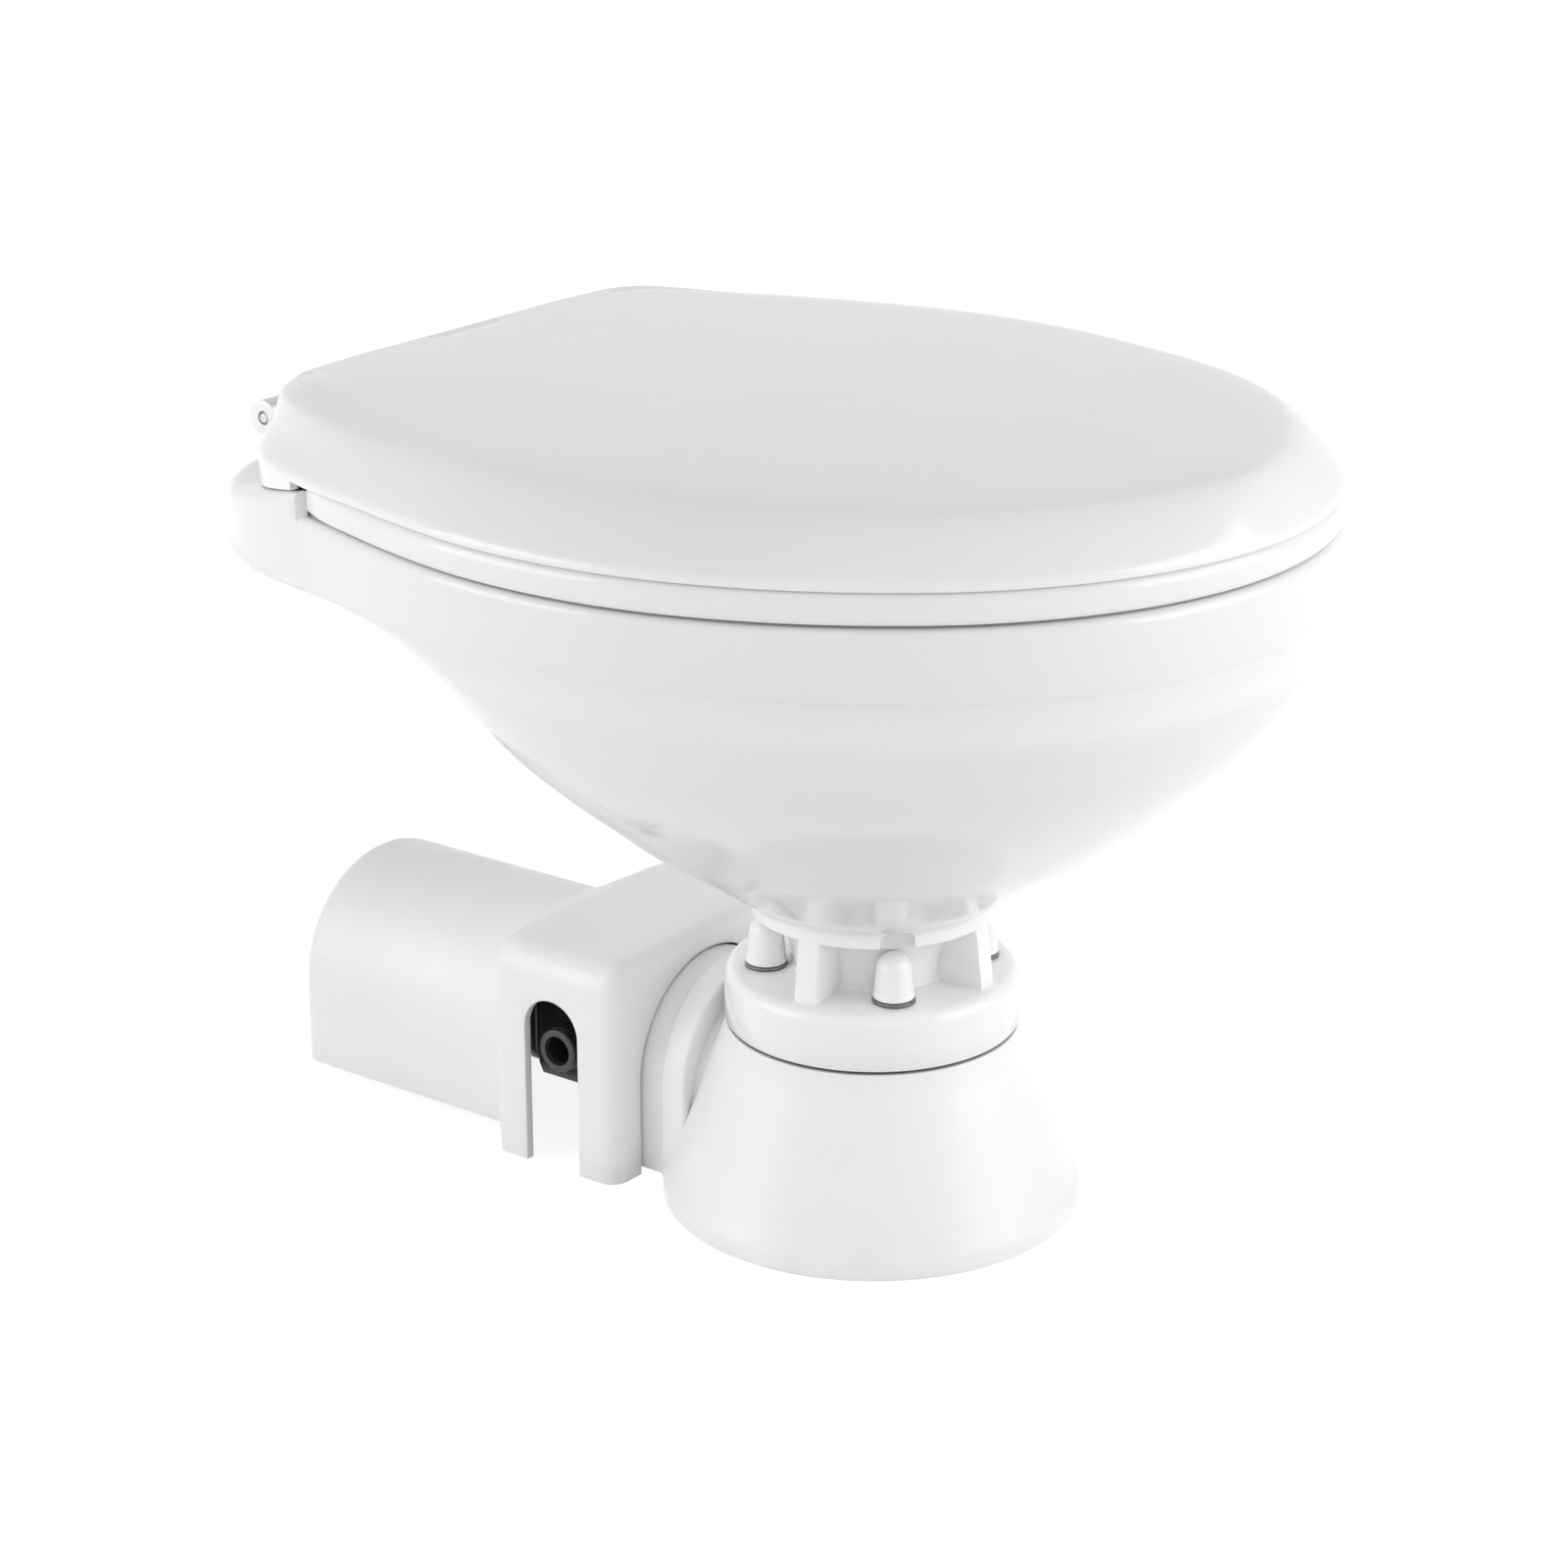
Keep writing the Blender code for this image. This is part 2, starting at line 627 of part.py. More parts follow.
for tag, side, way in CORNERS:
    cut(base, rod("base_hole_" + tag, BOLT_RADIUS + FIT, (side * bolt_x, way * bolt_y, -OVERRUN),
                  BASE_HEIGHT + 2 * OVERRUN))
cut(base, rod("base_sump", sump_radius, (0, 0, SUMP_FLOOR), BASE_HEIGHT, steps=ROUND_STEPS))
cut(base, rod("base_outlet", INLET_RADIUS, (0, 0, axis_height), flange_rear + OVERRUN, axis="Y",
              steps=ROUND_STEPS))
for tag, side, way in SCREW_CORNERS:
    cut(base, rod("base_screw_hole_" + tag, SCREW_RADIUS + FIT,
                  (side * screw_x, screw_tip - FIT, axis_height + way * screw_z),
                  SCREW_DEPTH + OVERRUN, axis="Y"))

# Gasket between base and bowl
bowl_gasket = tube("bowl_gasket", BASE_TOP_RADIUS - GASKET_INSET, outlet_radius + FIT,
                   (0, 0, BASE_HEIGHT + FIT), GASKET_THICKNESS, RUBBER, steps=28)
for tag, side, way in CORNERS:
    cut(bowl_gasket, rod("gasket_hole_" + tag, BOLT_RADIUS + FIT,
                         (side * bolt_x, way * bolt_y, BASE_HEIGHT - OVERRUN), 2 * OVERRUN + GASKET_THICKNESS))

# Bowl: outer skin from the round foot up the neck and body to the rim and deck
bowl_rows = [
    circle_ring(BASE_TOP_RADIUS - BASE_EDGE / 2, foot_bottom),
    circle_ring(BASE_TOP_RADIUS, foot_bottom + BASE_EDGE / 2),
    circle_ring(BASE_TOP_RADIUS, foot_top - FOOT_EDGE),
    circle_ring(BASE_TOP_RADIUS - 0.3 * FOOT_EDGE, foot_top - 0.3 * FOOT_EDGE),
    circle_ring(web_radius + 0.2 * FOOT_EDGE, foot_top),
    circle_ring(web_radius, foot_top + FOOT_EDGE / 2),
    circle_ring(neck_radius, recess_top + FOOT_EDGE / 2),
]
bowl_rows += [scaled_oval(row) for row in BODY_SHARES]
under_deck = bowl_rows[-1]
deck_foot = rim_ring(band_bottom, 0.4)
bowl_rows += [
    between(under_deck, deck_foot, 0.45),
    between(under_deck, deck_foot, 0.85),
    rim_ring(band_bottom, 0.15, -0.3),
    rim_ring(band_bottom, 0.0, -1.0),
]
for turn in (0.0, 30.0, 60.0, 90.0):
    lean = math.radians(turn)
    bowl_rows.append(rim_ring(RIM_HEIGHT, 1 - math.cos(lean), 1 - math.sin(lean)))
bowl = skin("bowl", bowl_rows, CHINA)

# Four recesses over the foot between its webs, each with an arched notch that gives room to its bolt
web_gap = math.radians(WEB_HALF_ANGLE)
for tag, side, way in CORNERS:
    wedge = []
    for radius, shares in ((core_radius, (0.0, 0.25, 0.5, 0.75, 1.0)), (2 * core_radius, (1.0, 0.5, 0.0))):
        for share in shares:
            turn = web_gap + (math.pi / 2 - 2 * web_gap) * share
            wedge.append((side * radius * math.cos(turn), way * radius * math.sin(turn)))
    cut(bowl, slab("bowl_recess_" + tag, wedge, foot_top, recess_top, axis="Z"))
    cut(bowl, turned("bowl_notch_" + tag,
                     dome(NOTCH_RADIUS, NOTCH_HEIGHT, 3) + [(NOTCH_RADIUS, 0.0), (0.0, 0.0)],
                     (side * bolt_x, way * bolt_y, foot_top), steps=14))

# Basin: throat under the rim, flush chamber behind the lip, then down to the outlet
basin_rows = [
    oval_ring(throat_half_width, throat_front, throat_rear, RIM_HEIGHT + OVERRUN),
    oval_ring(throat_half_width, throat_front, throat_rear, RIM_HEIGHT - RIM_LIP),
]
basin_rows += [scaled_oval(row) for row in BASIN_SHARES]
basin_rows += [
    circle_ring(outlet_radius, neck_top),
    circle_ring(outlet_radius, foot_bottom - OVERRUN),
]
cut(bowl, skin("bowl_basin", basin_rows))

# Flush inlet spud at the back of the neck
spud_profile = [(0.0, SPUD_REAR), (SPUD_RADIUS - DECK_EDGE / 2, SPUD_REAR),
                (SPUD_RADIUS, SPUD_REAR - DECK_EDGE / 2), (SPUD_RADIUS, SPUD_REAR / 2), (0.0, SPUD_REAR / 2)]
join(bowl, turned("bowl_spud", spud_profile, (0, 0, spud_height), axis="Y", steps=16))
cut(bowl, rod("spud_bore", SPUD_BORE, (0, SPUD_REAR - SPUD_DEPTH, spud_height), SPUD_DEPTH + OVERRUN, axis="Y"))

for tag, side, way in CORNERS:
    x = side * bolt_x
    y = way * bolt_y
    cut(bowl, rod("bowl_hole_" + tag, BOLT_RADIUS + 2 * FIT, (x, y, foot_bottom - OVERRUN),
                  FOOT_THICKNESS + 2 * OVERRUN))

# Hinge bolt holes through the deck, spotfaced from below
spotface_top = RIM_HEIGHT - SPOTFACE_HEIGHT
for tag, side in SIDES:
    cut(bowl, rod("deck_hole_" + tag, HINGE_BOLT_RADIUS + FIT, (side * HINGE_X, hinge_y, spotface_top - RIM_BAND),
                  RIM_BAND + SPOTFACE_HEIGHT + OVERRUN))
    cut(bowl, rod("deck_spotface_" + tag, SPOTFACE_RADIUS, (side * HINGE_X, hinge_y, spotface_top - RIM_BAND),
                  RIM_BAND, steps=16))

# Hold-down bolts, each with its washer and finger cap
cap_inner = CAP_RADIUS - CAP_WALL
cap_profile = dome(CAP_RADIUS, CAP_HEIGHT, 3) + [(CAP_RADIUS, 0.0), (cap_inner, 0.0)]
cap_profile += dome(cap_inner, CAP_HEIGHT - CAP_WALL, 2)[::-1]
for tag, side, way in CORNERS:
    x = side * bolt_x
    y = way * bolt_y
    tube("washer_" + tag, WASHER_RADIUS, BOLT_RADIUS + FIT, (x, y, washer_bottom), WASHER_THICKNESS, STEEL, steps=12)
    bolt = rod("bolt_" + tag, BOLT_HEAD_RADIUS, (x, y, head_bottom), BOLT_HEAD_HEIGHT, STEEL, steps=6)
    join(bolt, rod("bolt_shank_" + tag, BOLT_RADIUS, (x, y, BOLT_END_HEIGHT),
                   head_bottom + BOLT_HEAD_HEIGHT / 2 - BOLT_END_HEIGHT, edge=BOLT_RADIUS / 4))
    turned("cap_" + tag, cap_profile, (x, y, head_bottom), CAP_WHITE, steps=12)


# Seat ring, resting on four bumpers
def hole_ring(grow, height):
    points = []
    for angle in ANGLES:
        turn = math.radians(angle)
        points.append(((seat_hole_half_width + grow) * math.sin(turn),
                       SEAT_HOLE_Y - (seat_hole_half_length + grow) * math.cos(turn), height))
    return points


seat = skin("seat", [
    plan_ring(SEAT_SHARES, seat_bottom, SEAT_EDGE / 2),
    plan_ring(SEAT_SHARES, seat_bottom + SEAT_EDGE / 2),
    plan_ring(SEAT_SHARES, seat_top - SEAT_EDGE),
    plan_ring(SEAT_SHARES, seat_top - 0.3 * SEAT_EDGE, 0.3 * SEAT_EDGE),
    plan_ring(SEAT_SHARES, seat_top, SEAT_EDGE),
    hole_ring(5 * SEAT_EDGE, seat_top),
    hole_ring(1.5 * SEAT_EDGE, seat_top - 0.4 * SEAT_EDGE),
    hole_ring(0.0, seat_top - 1.6 * SEAT_EDGE),
    hole_ring(0.0, seat_bottom),
], ENAMEL, loop=True)
lug_gap = POST_WIDTH / 2 + FIT
for tag, side in SIDES:
    near = min(side * (HINGE_X - lug_gap - LUG_WIDTH), side * (HINGE_X - lug_gap))
    far = near + LUG_WIDTH
    join(seat, rod("seat_barrel_" + tag, LUG_RADIUS, (near, hinge_y, hinge_z), LUG_WIDTH, axis="X", steps=12))
    arm = slab("seat_arm_" + tag,
               [(hinge_y, hinge_z - 0.6 * LUG_RADIUS), (hinge_y, hinge_z + 0.8 * LUG_RADIUS),
                (hinge_y - 0.8 * LUG_RADIUS, hinge_z + 0.6 * LUG_RADIUS),
                (hinge_y - LUG_REACH, seat_top - SEAT_EDGE / 2),
                (hinge_y - 1.3 * LUG_REACH, seat_top - SEAT_EDGE),
                (hinge_y - 1.3 * LUG_REACH, seat_bottom + SEAT_EDGE),
                (hinge_y - 0.5 * LUG_REACH, seat_bottom + SEAT_EDGE)],
               near + FIT, far - FIT, axis="X")
    join(seat, arm)
    cut(seat, rod("seat_pin_hole_" + tag, PIN_RADIUS + FIT, (near - OVERRUN, hinge_y, hinge_z),
                  LUG_WIDTH + 2 * OVERRUN, axis="X"))

# Seat bumpers, each a button with its stem in the seat
for tag, x_share, y_share in BUMPER_SHARES:
    x = x_share * HALF_WIDTH
    y = y_share * HALF_WIDTH
    cut(seat, rod("seat_bumper_hole_" + tag, BUMPER_RADIUS / 2 + FIT, (x, y, seat_bottom - OVERRUN),
                  OVERRUN + BUMPER_SINK + FIT))
    turned("seat_bumper_" + tag,
           [(0.0, seat_bottom + BUMPER_SINK), (BUMPER_RADIUS / 2, seat_bottom + BUMPER_SINK),
            (BUMPER_RADIUS / 2, seat_bottom - FIT), (BUMPER_RADIUS, seat_bottom - FIT),
            (BUMPER_RADIUS, RIM_HEIGHT + FIT), (0.0, RIM_HEIGHT + FIT)],
           (x, y, 0.0), GREY_RUBBER, steps=SMALL_STEPS)


# Lid: thin shell with a rolled edge and a shallow dome, its skirt deeper behind the seat
def lid_ring(share, height, scale=1.0):
    points = []
    for angle in ANGLES:
        low = share_at(LID_SHARES, angle)
        high = share_at(LID_CROWN_SHARES, angle)
        points.append(plan_point(angle, (low + (high - low) * share) * HALF_WIDTH * scale, height))
    return points


lid_rows = [lid_ring(0.0, skirt_bottom)]
lid_rows += [lid_ring(share, lid_bottom + level * LID_SIDE_HEIGHT) for level, share in LID_SIDE_SHARES]
edge_share = LID_SIDE_SHARES[-1][1]
lid_rows += [lid_ring(edge_share, crown + rise * LID_DOME, scale) for scale, rise in LID_TOP_SHARES]
lid = skin("lid", lid_rows, ENAMEL, caps=(False, True))
solidify(lid, LID_WALL)
cut(lid, block("lid_front_cut", (-2 * HALF_WIDTH, -2 * HALF_WIDTH, skirt_bottom - OVERRUN),
               (2 * HALF_WIDTH, hinge_y - LID_SKIRT_REACH, lid_bottom)))
arm_angle = 180.0
while share_at(LID_SHARES, arm_angle) * HALF_WIDTH * math.sin(math.radians(arm_angle)) < HINGE_X + lug_gap + LUG_WIDTH:
    arm_angle -= 0.5
arm_start = plan_point(arm_angle, share_at(LID_SHARES, arm_angle) * HALF_WIDTH, crown)[1] - 0.6 * LID_WALL
for tag, side in SIDES:
    near = min(side * (HINGE_X + lug_gap), side * (HINGE_X + lug_gap + LUG_WIDTH))
    join(lid, rod("lid_barrel_" + tag, LUG_RADIUS, (near, hinge_y, hinge_z), LUG_WIDTH, axis="X", steps=12))
    join(lid, slab("lid_arm_" + tag,
                   [(hinge_y, hinge_z - 0.8 * LUG_RADIUS), (hinge_y, hinge_z + 0.8 * LUG_RADIUS),
                    (arm_start, hinge_z + 0.8 * LUG_RADIUS), (arm_start, hinge_z - 0.8 * LUG_RADIUS)],
                   near + FIT, near + LUG_WIDTH - FIT, axis="X"))
    cut(lid, rod("lid_pin_hole_" + tag, PIN_RADIUS + FIT, (near - OVERRUN, hinge_y, hinge_z),
                 LUG_WIDTH + 2 * OVERRUN, axis="X"))
    notch_middle = side * (HINGE_X - lug_gap - LUG_WIDTH / 2)
    notch_half = LUG_WIDTH / 2 + 2 * RUNNING_GAP
    cut(lid, block("lid_notch_" + tag,
                   (notch_middle - notch_half, hinge_y - 1.2 * LUG_REACH, skirt_bottom - OVERRUN),
                   (notch_middle + notch_half, hinge_y + LUG_REACH, hinge_z + LUG_RADIUS + 2 * RUNNING_GAP)))

# Hinge posts on the deck, with their pins, and their bolts up through the deck
post_bottom = RIM_HEIGHT + FIT
washer_top = spotface_top - FIT
hinge_head_top = washer_top - HINGE_WASHER_THICKNESS - FIT
hinge_head = 1.6 * HINGE_BOLT_RADIUS
pin_length = POST_WIDTH + 2 * LUG_WIDTH + 2 * FIT
for tag, side in SIDES:
    x = side * HINGE_X
    post = slab("hinge_post_" + tag,
                arch(POST_DEPTH / 2, hinge_z + POST_DEPTH / 2, post_bottom, 8, hinge_y),
                x - POST_WIDTH / 2, x + POST_WIDTH / 2, MOULDING, axis="X")
    cut(post, rod("post_pin_hole_" + tag, PIN_RADIUS + FIT, (x - POST_WIDTH / 2 - OVERRUN, hinge_y, hinge_z),
                  POST_WIDTH + 2 * OVERRUN, axis="X"))
    cut(post, rod("post_bolt_hole_" + tag, HINGE_BOLT_RADIUS + FIT, (x, hinge_y, post_bottom - OVERRUN),
                  OVERRUN + HINGE_BOLT_DEPTH + FIT))
    rod("hinge_pin_" + tag, PIN_RADIUS, (x - pin_length / 2, hinge_y, hinge_z), pin_length, STEEL, axis="X",
        edge=PIN_RADIUS / 4)
    tube("hinge_washer_" + tag, SPOTFACE_RADIUS - 2 * RUNNING_GAP, HINGE_BOLT_RADIUS + FIT,
         (x, hinge_y, washer_top - HINGE_WASHER_THICKNESS), HINGE_WASHER_THICKNESS, STEEL, steps=12)
    bolt = rod("hinge_bolt_" + tag, 1.8 * HINGE_BOLT_RADIUS, (x, hinge_y, hinge_head_top - hinge_head), hinge_head,
               STEEL, steps=6)
    join(bolt, rod("hinge_shank_" + tag, HINGE_BOLT_RADIUS, (x, hinge_y, hinge_head_top - hinge_head / 2),
                   post_bottom + HINGE_BOLT_DEPTH - hinge_head_top + hinge_head / 2, edge=HINGE_BOLT_RADIUS / 4))

# Pump: flange gasket, macerator housing and pump body with its discharge port
tube("flange_gasket", CHAMBER_RADIUS, INLET_RADIUS + FIT, (0, flange_gasket_front, axis_height),
     FLANGE_GASKET_THICKNESS, RUBBER, axis="Y")
pump_outline = rounded_box(PUMP_HALF_WIDTH, PUMP_HALF_HEIGHT, PUMP_CORNER, axis_height)
macerator = slab("macerator_housing", pump_outline, macerator_front, macerator_rear, BLACK, edge=PUMP_EDGE)
chopper_room = 0.72 * MACERATOR_LENGTH
cut(macerator, rod("macerator_bore", CHAMBER_RADIUS, (0, macerator_rear - chopper_room, axis_height),
                   chopper_room + OVERRUN, axis="Y", steps=ROUND_STEPS))
cut(macerator, rod("macerator_inlet", INLET_RADIUS, (0, macerator_front - OVERRUN, axis_height),
                   MACERATOR_LENGTH, axis="Y", steps=ROUND_STEPS))

pump_body = slab("pump_body", pump_outline, pump_front, pump_rear, BLACK, edge=PUMP_EDGE)
join(pump_body, rod("pump_port", PORT_RADIUS, (-PORT_REACH, port_y, axis_height), PORT_REACH - CHAMBER_RADIUS,
                    axis="X", steps=16))
cut(pump_body, rod("pump_chamber", CHAMBER_RADIUS, (0, pump_front - OVERRUN, axis_height),
                   CHAMBER_DEPTH + OVERRUN, axis="Y", steps=ROUND_STEPS))
cut(pump_body, rod("pump_port_bore", PORT_BORE, (-PORT_REACH - OVERRUN, port_y, axis_height),
                   PORT_REACH + OVERRUN, axis="X", steps=16))
seal_front = pump_front + CHAMBER_DEPTH
seal_depth = 0.45 * (PUMP_LENGTH - CHAMBER_DEPTH)
seal_radius = 2.3 * SHAFT_RADIUS
cut(pump_body, rod("pump_seal_pocket", seal_radius + FIT, (0, seal_front - FIT, axis_height), seal_depth + 2 * FIT,
                   axis="Y", steps=16))
cut(pump_body, rod("pump_shaft_hole", SHAFT_RADIUS + RUNNING_GAP, (0, seal_front, axis_height), PUMP_LENGTH,
                   axis="Y", steps=16))
tube("shaft_seal", seal_radius, SHAFT_RADIUS + FIT, (0, seal_front, axis_height), seal_depth, CARBON, axis="Y",
     steps=16)
tube("wear_plate", CHAMBER_RADIUS - FIT, INLET_RADIUS, (0, pump_front, axis_height), WEAR_PLATE_THICKNESS, STEEL,
     axis="Y")
tube("port_ring", PORT_RADIUS, PORT_BORE, (-PORT_REACH - FIT - PORT_RING_LENGTH, port_y, axis_height),
     PORT_RING_LENGTH, GREY, axis="X", steps=16, edge=PORT_RING_LENGTH / 5)

# Motor: mounting plate, can and rear bell
plate_outline = rounded_box(PUMP_HALF_WIDTH, MOTOR_PLATE_HALF_HEIGHT, PUMP_CORNER, axis_height)
motor_plate = slab("motor_plate", plate_outline, plate_front, plate_rear, MOTOR_PAINT, edge=PUMP_EDGE)
cut(motor_plate, rod("plate_shaft_hole", SHAFT_RADIUS + RUNNING_GAP, (0, plate_front - OVERRUN, axis_height),
                     MOTOR_PLATE_THICKNESS + 2 * OVERRUN, axis="Y", steps=16))
motor_can = rod("motor_can", MOTOR_RADIUS, (0, motor_front, axis_height), MOTOR_LENGTH, MOTOR_PAINT, axis="Y",
                steps=28, edge=MOTOR_EDGE)
shaft_inner = 0.35 * MOTOR_LENGTH
cut(motor_can, rod("motor_shaft_hole", SHAFT_RADIUS + RUNNING_GAP, (0, motor_front - OVERRUN, axis_height),
                   shaft_inner + OVERRUN, axis="Y", steps=16))
turned("motor_end",
       [(0.0, MOTOR_END_LENGTH), (0.34 * MOTOR_RADIUS, MOTOR_END_LENGTH),
        (0.40 * MOTOR_RADIUS, 0.72 * MOTOR_END_LENGTH), (0.82 * MOTOR_RADIUS, 0.60 * MOTOR_END_LENGTH),
        (0.97 * MOTOR_RADIUS, 0.35 * MOTOR_END_LENGTH), (0.97 * MOTOR_RADIUS, 0.0), (0.0, 0.0)],
       (0, motor_end_front, axis_height), GREY, axis="Y", steps=24)

# Long screws that hold plate, pump and macerator housing to the base's flange
screw_head_front = plate_rear + FIT
screw_head = 1.6 * SCREW_RADIUS
for tag, side, way in SCREW_CORNERS:
    x = side * screw_x
    z = axis_height + way * screw_z
    for target in (macerator, pump_body, motor_plate):
        cut(target, rod(target.name + "_screw_hole_" + tag, SCREW_RADIUS + FIT, (x, macerator_front - OVERRUN, z),
                        plate_rear - macerator_front + 2 * OVERRUN, axis="Y"))
    screw = turned("housing_screw_" + tag,
                   [(0.0, screw_head), (1.5 * SCREW_RADIUS, screw_head), (1.7 * SCREW_RADIUS, 0.7 * screw_head),
                    (1.7 * SCREW_RADIUS, 0.0), (0.0, 0.0)],
                   (x, screw_head_front, z), STEEL, axis="Y", steps=SMALL_STEPS)
    join(screw, rod("screw_shank_" + tag, SCREW_RADIUS, (x, screw_tip, z),
                    screw_head_front + screw_head / 2 - screw_tip, axis="Y", steps=10))

# Rubber foot that carries the motor on the floor, with its two screws
foot_middle = motor_front + 0.62 * MOTOR_LENGTH
cradle_half = 0.62 * MOTOR_RADIUS
cradle_height = 0.56 * axis_height
motor_foot = slab("motor_foot",
                  [(-MOTOR_FOOT_HALF_WIDTH, 0.0), (-MOTOR_FOOT_HALF_WIDTH, MOTOR_FOOT_PLATE),
                   (-cradle_half, MOTOR_FOOT_PLATE), (-cradle_half, cradle_height),
                   (cradle_half, cradle_height), (cradle_half, MOTOR_FOOT_PLATE),
                   (MOTOR_FOOT_HALF_WIDTH, MOTOR_FOOT_PLATE), (MOTOR_FOOT_HALF_WIDTH, 0.0)],
                  foot_middle - MOTOR_FOOT_LENGTH / 2, foot_middle + MOTOR_FOOT_LENGTH / 2, GREY_RUBBER)
cut(motor_foot, rod("foot_cradle", MOTOR_RADIUS + FIT, (0, motor_front, axis_height), MOTOR_LENGTH, axis="Y",
                    steps=28))
foot_screw_x = (MOTOR_FOOT_HALF_WIDTH + cradle_half) / 2
foot_head_bottom = MOTOR_FOOT_PLATE + FIT
foot_head = 1.4 * SCREW_RADIUS
for tag, side in SIDES:
    x = side * foot_screw_x
    cut(motor_foot, rod("foot_screw_hole_" + tag, SCREW_RADIUS + FIT, (x, foot_middle, -OVERRUN),
                        MOTOR_FOOT_PLATE + 2 * OVERRUN))
    foot_screw = turned("foot_screw_" + tag,
                        [(0.0, foot_head), (1.3 * SCREW_RADIUS, foot_head), (2 * SCREW_RADIUS, foot_head / 3),
                         (2 * SCREW_RADIUS, 0.0), (0.0, 0.0)],
                        (x, foot_middle, foot_head_bottom), STEEL, steps=SMALL_STEPS)
    join(foot_screw, rod("foot_shank_" + tag, SCREW_RADIUS, (x, foot_middle, 0.0), foot_head_bottom + foot_head / 4,
                         steps=10))

# Shaft with the chopper and the impeller fixed on it
shaft_front = macerator_rear - chopper_room + RUNNING_GAP
shaft_rear = motor_front + shaft_inner - RUNNING_GAP
motor_shaft = rod("motor_shaft", SHAFT_RADIUS, (0, shaft_front, axis_height), shaft_rear - shaft_front, STEEL,
                  axis="Y", steps=16, edge=SHAFT_RADIUS / 5)

chopper_y = shaft_front + 0.25 * chopper_room
blade_reach = CHAMBER_RADIUS - 2 * RUNNING_GAP
blade_half = 0.30 * CHAMBER_RADIUS
blade_thickness = 0.22 * chopper_room
chopper = rod("chopper", 2.4 * SHAFT_RADIUS, (0, chopper_y, axis_height), 0.30 * chopper_room, BLADE_STEEL,
              axis="Y", steps=20)
for i in range(BLADES):
    blade = block("chopper_blade_" + str(i), (-blade_reach, 0.0, -blade_half),
                  (blade_reach, blade_thickness, blade_half))
    spin = Matrix.Rotation(math.pi * i / BLADES + math.radians(20), 4, "Y")
    blade.data.transform(Matrix.Translation((0, chopper_y, axis_height)) @ spin)
    combine(blade, rod("chopper_trim_" + str(i), blade_reach - RUNNING_GAP, (0, chopper_y - OVERRUN, axis_height),
                       2 * OVERRUN, axis="Y", steps=ROUND_STEPS), "INTERSECT")
    join(chopper, blade)
cut(chopper, rod("chopper_bore", SHAFT_RADIUS + FIT, (0, chopper_y - OVERRUN, axis_height), 3 * OVERRUN,
                 axis="Y", steps=16))

impeller_front = pump_front + WEAR_PLATE_THICKNESS + 2 * RUNNING_GAP
impeller_length = CHAMBER_DEPTH - WEAR_PLATE_THICKNESS - 6 * RUNNING_GAP
impeller_disc = 0.15 * impeller_length
impeller_radius = CHAMBER_RADIUS - 3 * RUNNING_GAP
vane_half = 0.35 * SHAFT_RADIUS
impeller = rod("impeller", impeller_radius, (0, impeller_front + impeller_length - impeller_disc, axis_height),
               impeller_disc, BLACK, axis="Y", steps=ROUND_STEPS)
join(impeller, rod("impeller_hub", 2 * SHAFT_RADIUS, (0, impeller_front, axis_height),
                   impeller_length - impeller_disc / 2, axis="Y", steps=20))
for i in range(VANES):
    vane = block("impeller_vane_" + str(i), (1.5 * SHAFT_RADIUS, RUNNING_GAP, -vane_half),
                 (0.93 * impeller_radius, impeller_length - impeller_disc / 2, vane_half))
    spin = Matrix.Rotation(2 * math.pi * i / VANES + math.radians(11), 4, "Y")
    vane.data.transform(Matrix.Translation((0, impeller_front, axis_height)) @ spin)
    join(impeller, vane)
cut(impeller, rod("impeller_bore", SHAFT_RADIUS + FIT, (0, impeller_front - OVERRUN, axis_height),
                  impeller_length + 2 * OVERRUN, axis="Y", steps=16))


# Cover: one moulded shell open below, a box over the pump that runs into a round tunnel over the motor
def cover_row(half_width, height, corner, place, inset=0.0, steps=7):
    """Section across the cover: up one side, round both shoulders and down the other side."""
    half = half_width - inset
    top = height - inset
    radius = corner - inset
    shoulder = []
    for i in range(steps + 1):
        turn = math.pi / 2 * i / steps
        shoulder.append((half - radius + radius * math.cos(turn), place, top - radius + radius * math.sin(turn)))
    mirrored = [(-x, y, z) for x, y, z in reversed(shoulder)]
    return [(half, place, 0.0)] + shoulder + mirrored + [(-half, place, 0.0)]


box = (COVER_BOX_HALF_WIDTH, axis_height + COVER_BOX_RISE, COVER_BOX_CORNER)
tunnel = (TUNNEL_HALF_WIDTH, axis_height + TUNNEL_RISE, TUNNEL_HALF_WIDTH - FIT)
mix = tuple((a + b) / 2 for a, b in zip(box, tunnel))
cover = skin("cover", [
    cover_row(*box, cover_front, COVER_EDGE),
    cover_row(*box, cover_front + 0.3 * COVER_EDGE, 0.3 * COVER_EDGE),
    cover_row(*box, cover_front + COVER_EDGE),
    cover_row(*box, cover_box_rear - COVER_EDGE / 3),
    cover_row(*mix, cover_box_rear + COVER_FLARE / 3),
    cover_row(*tunnel, cover_box_rear + COVER_FLARE),
    cover_row(*tunnel, cover_rear - COVER_EDGE),
    cover_row(*tunnel, cover_rear - 0.3 * COVER_EDGE, 0.3 * COVER_EDGE),
    cover_row(*tunnel, cover_rear, COVER_EDGE),
], MOULDING, wrap=False)
solidify(cover, COVER_WALL)
cut(cover, block("cover_tunnel_foot", (-2 * TUNNEL_HALF_WIDTH, cover_box_rear, -OVERRUN),
                 (2 * TUNNEL_HALF_WIDTH, cover_rear + OVERRUN, TUNNEL_LIFT)))
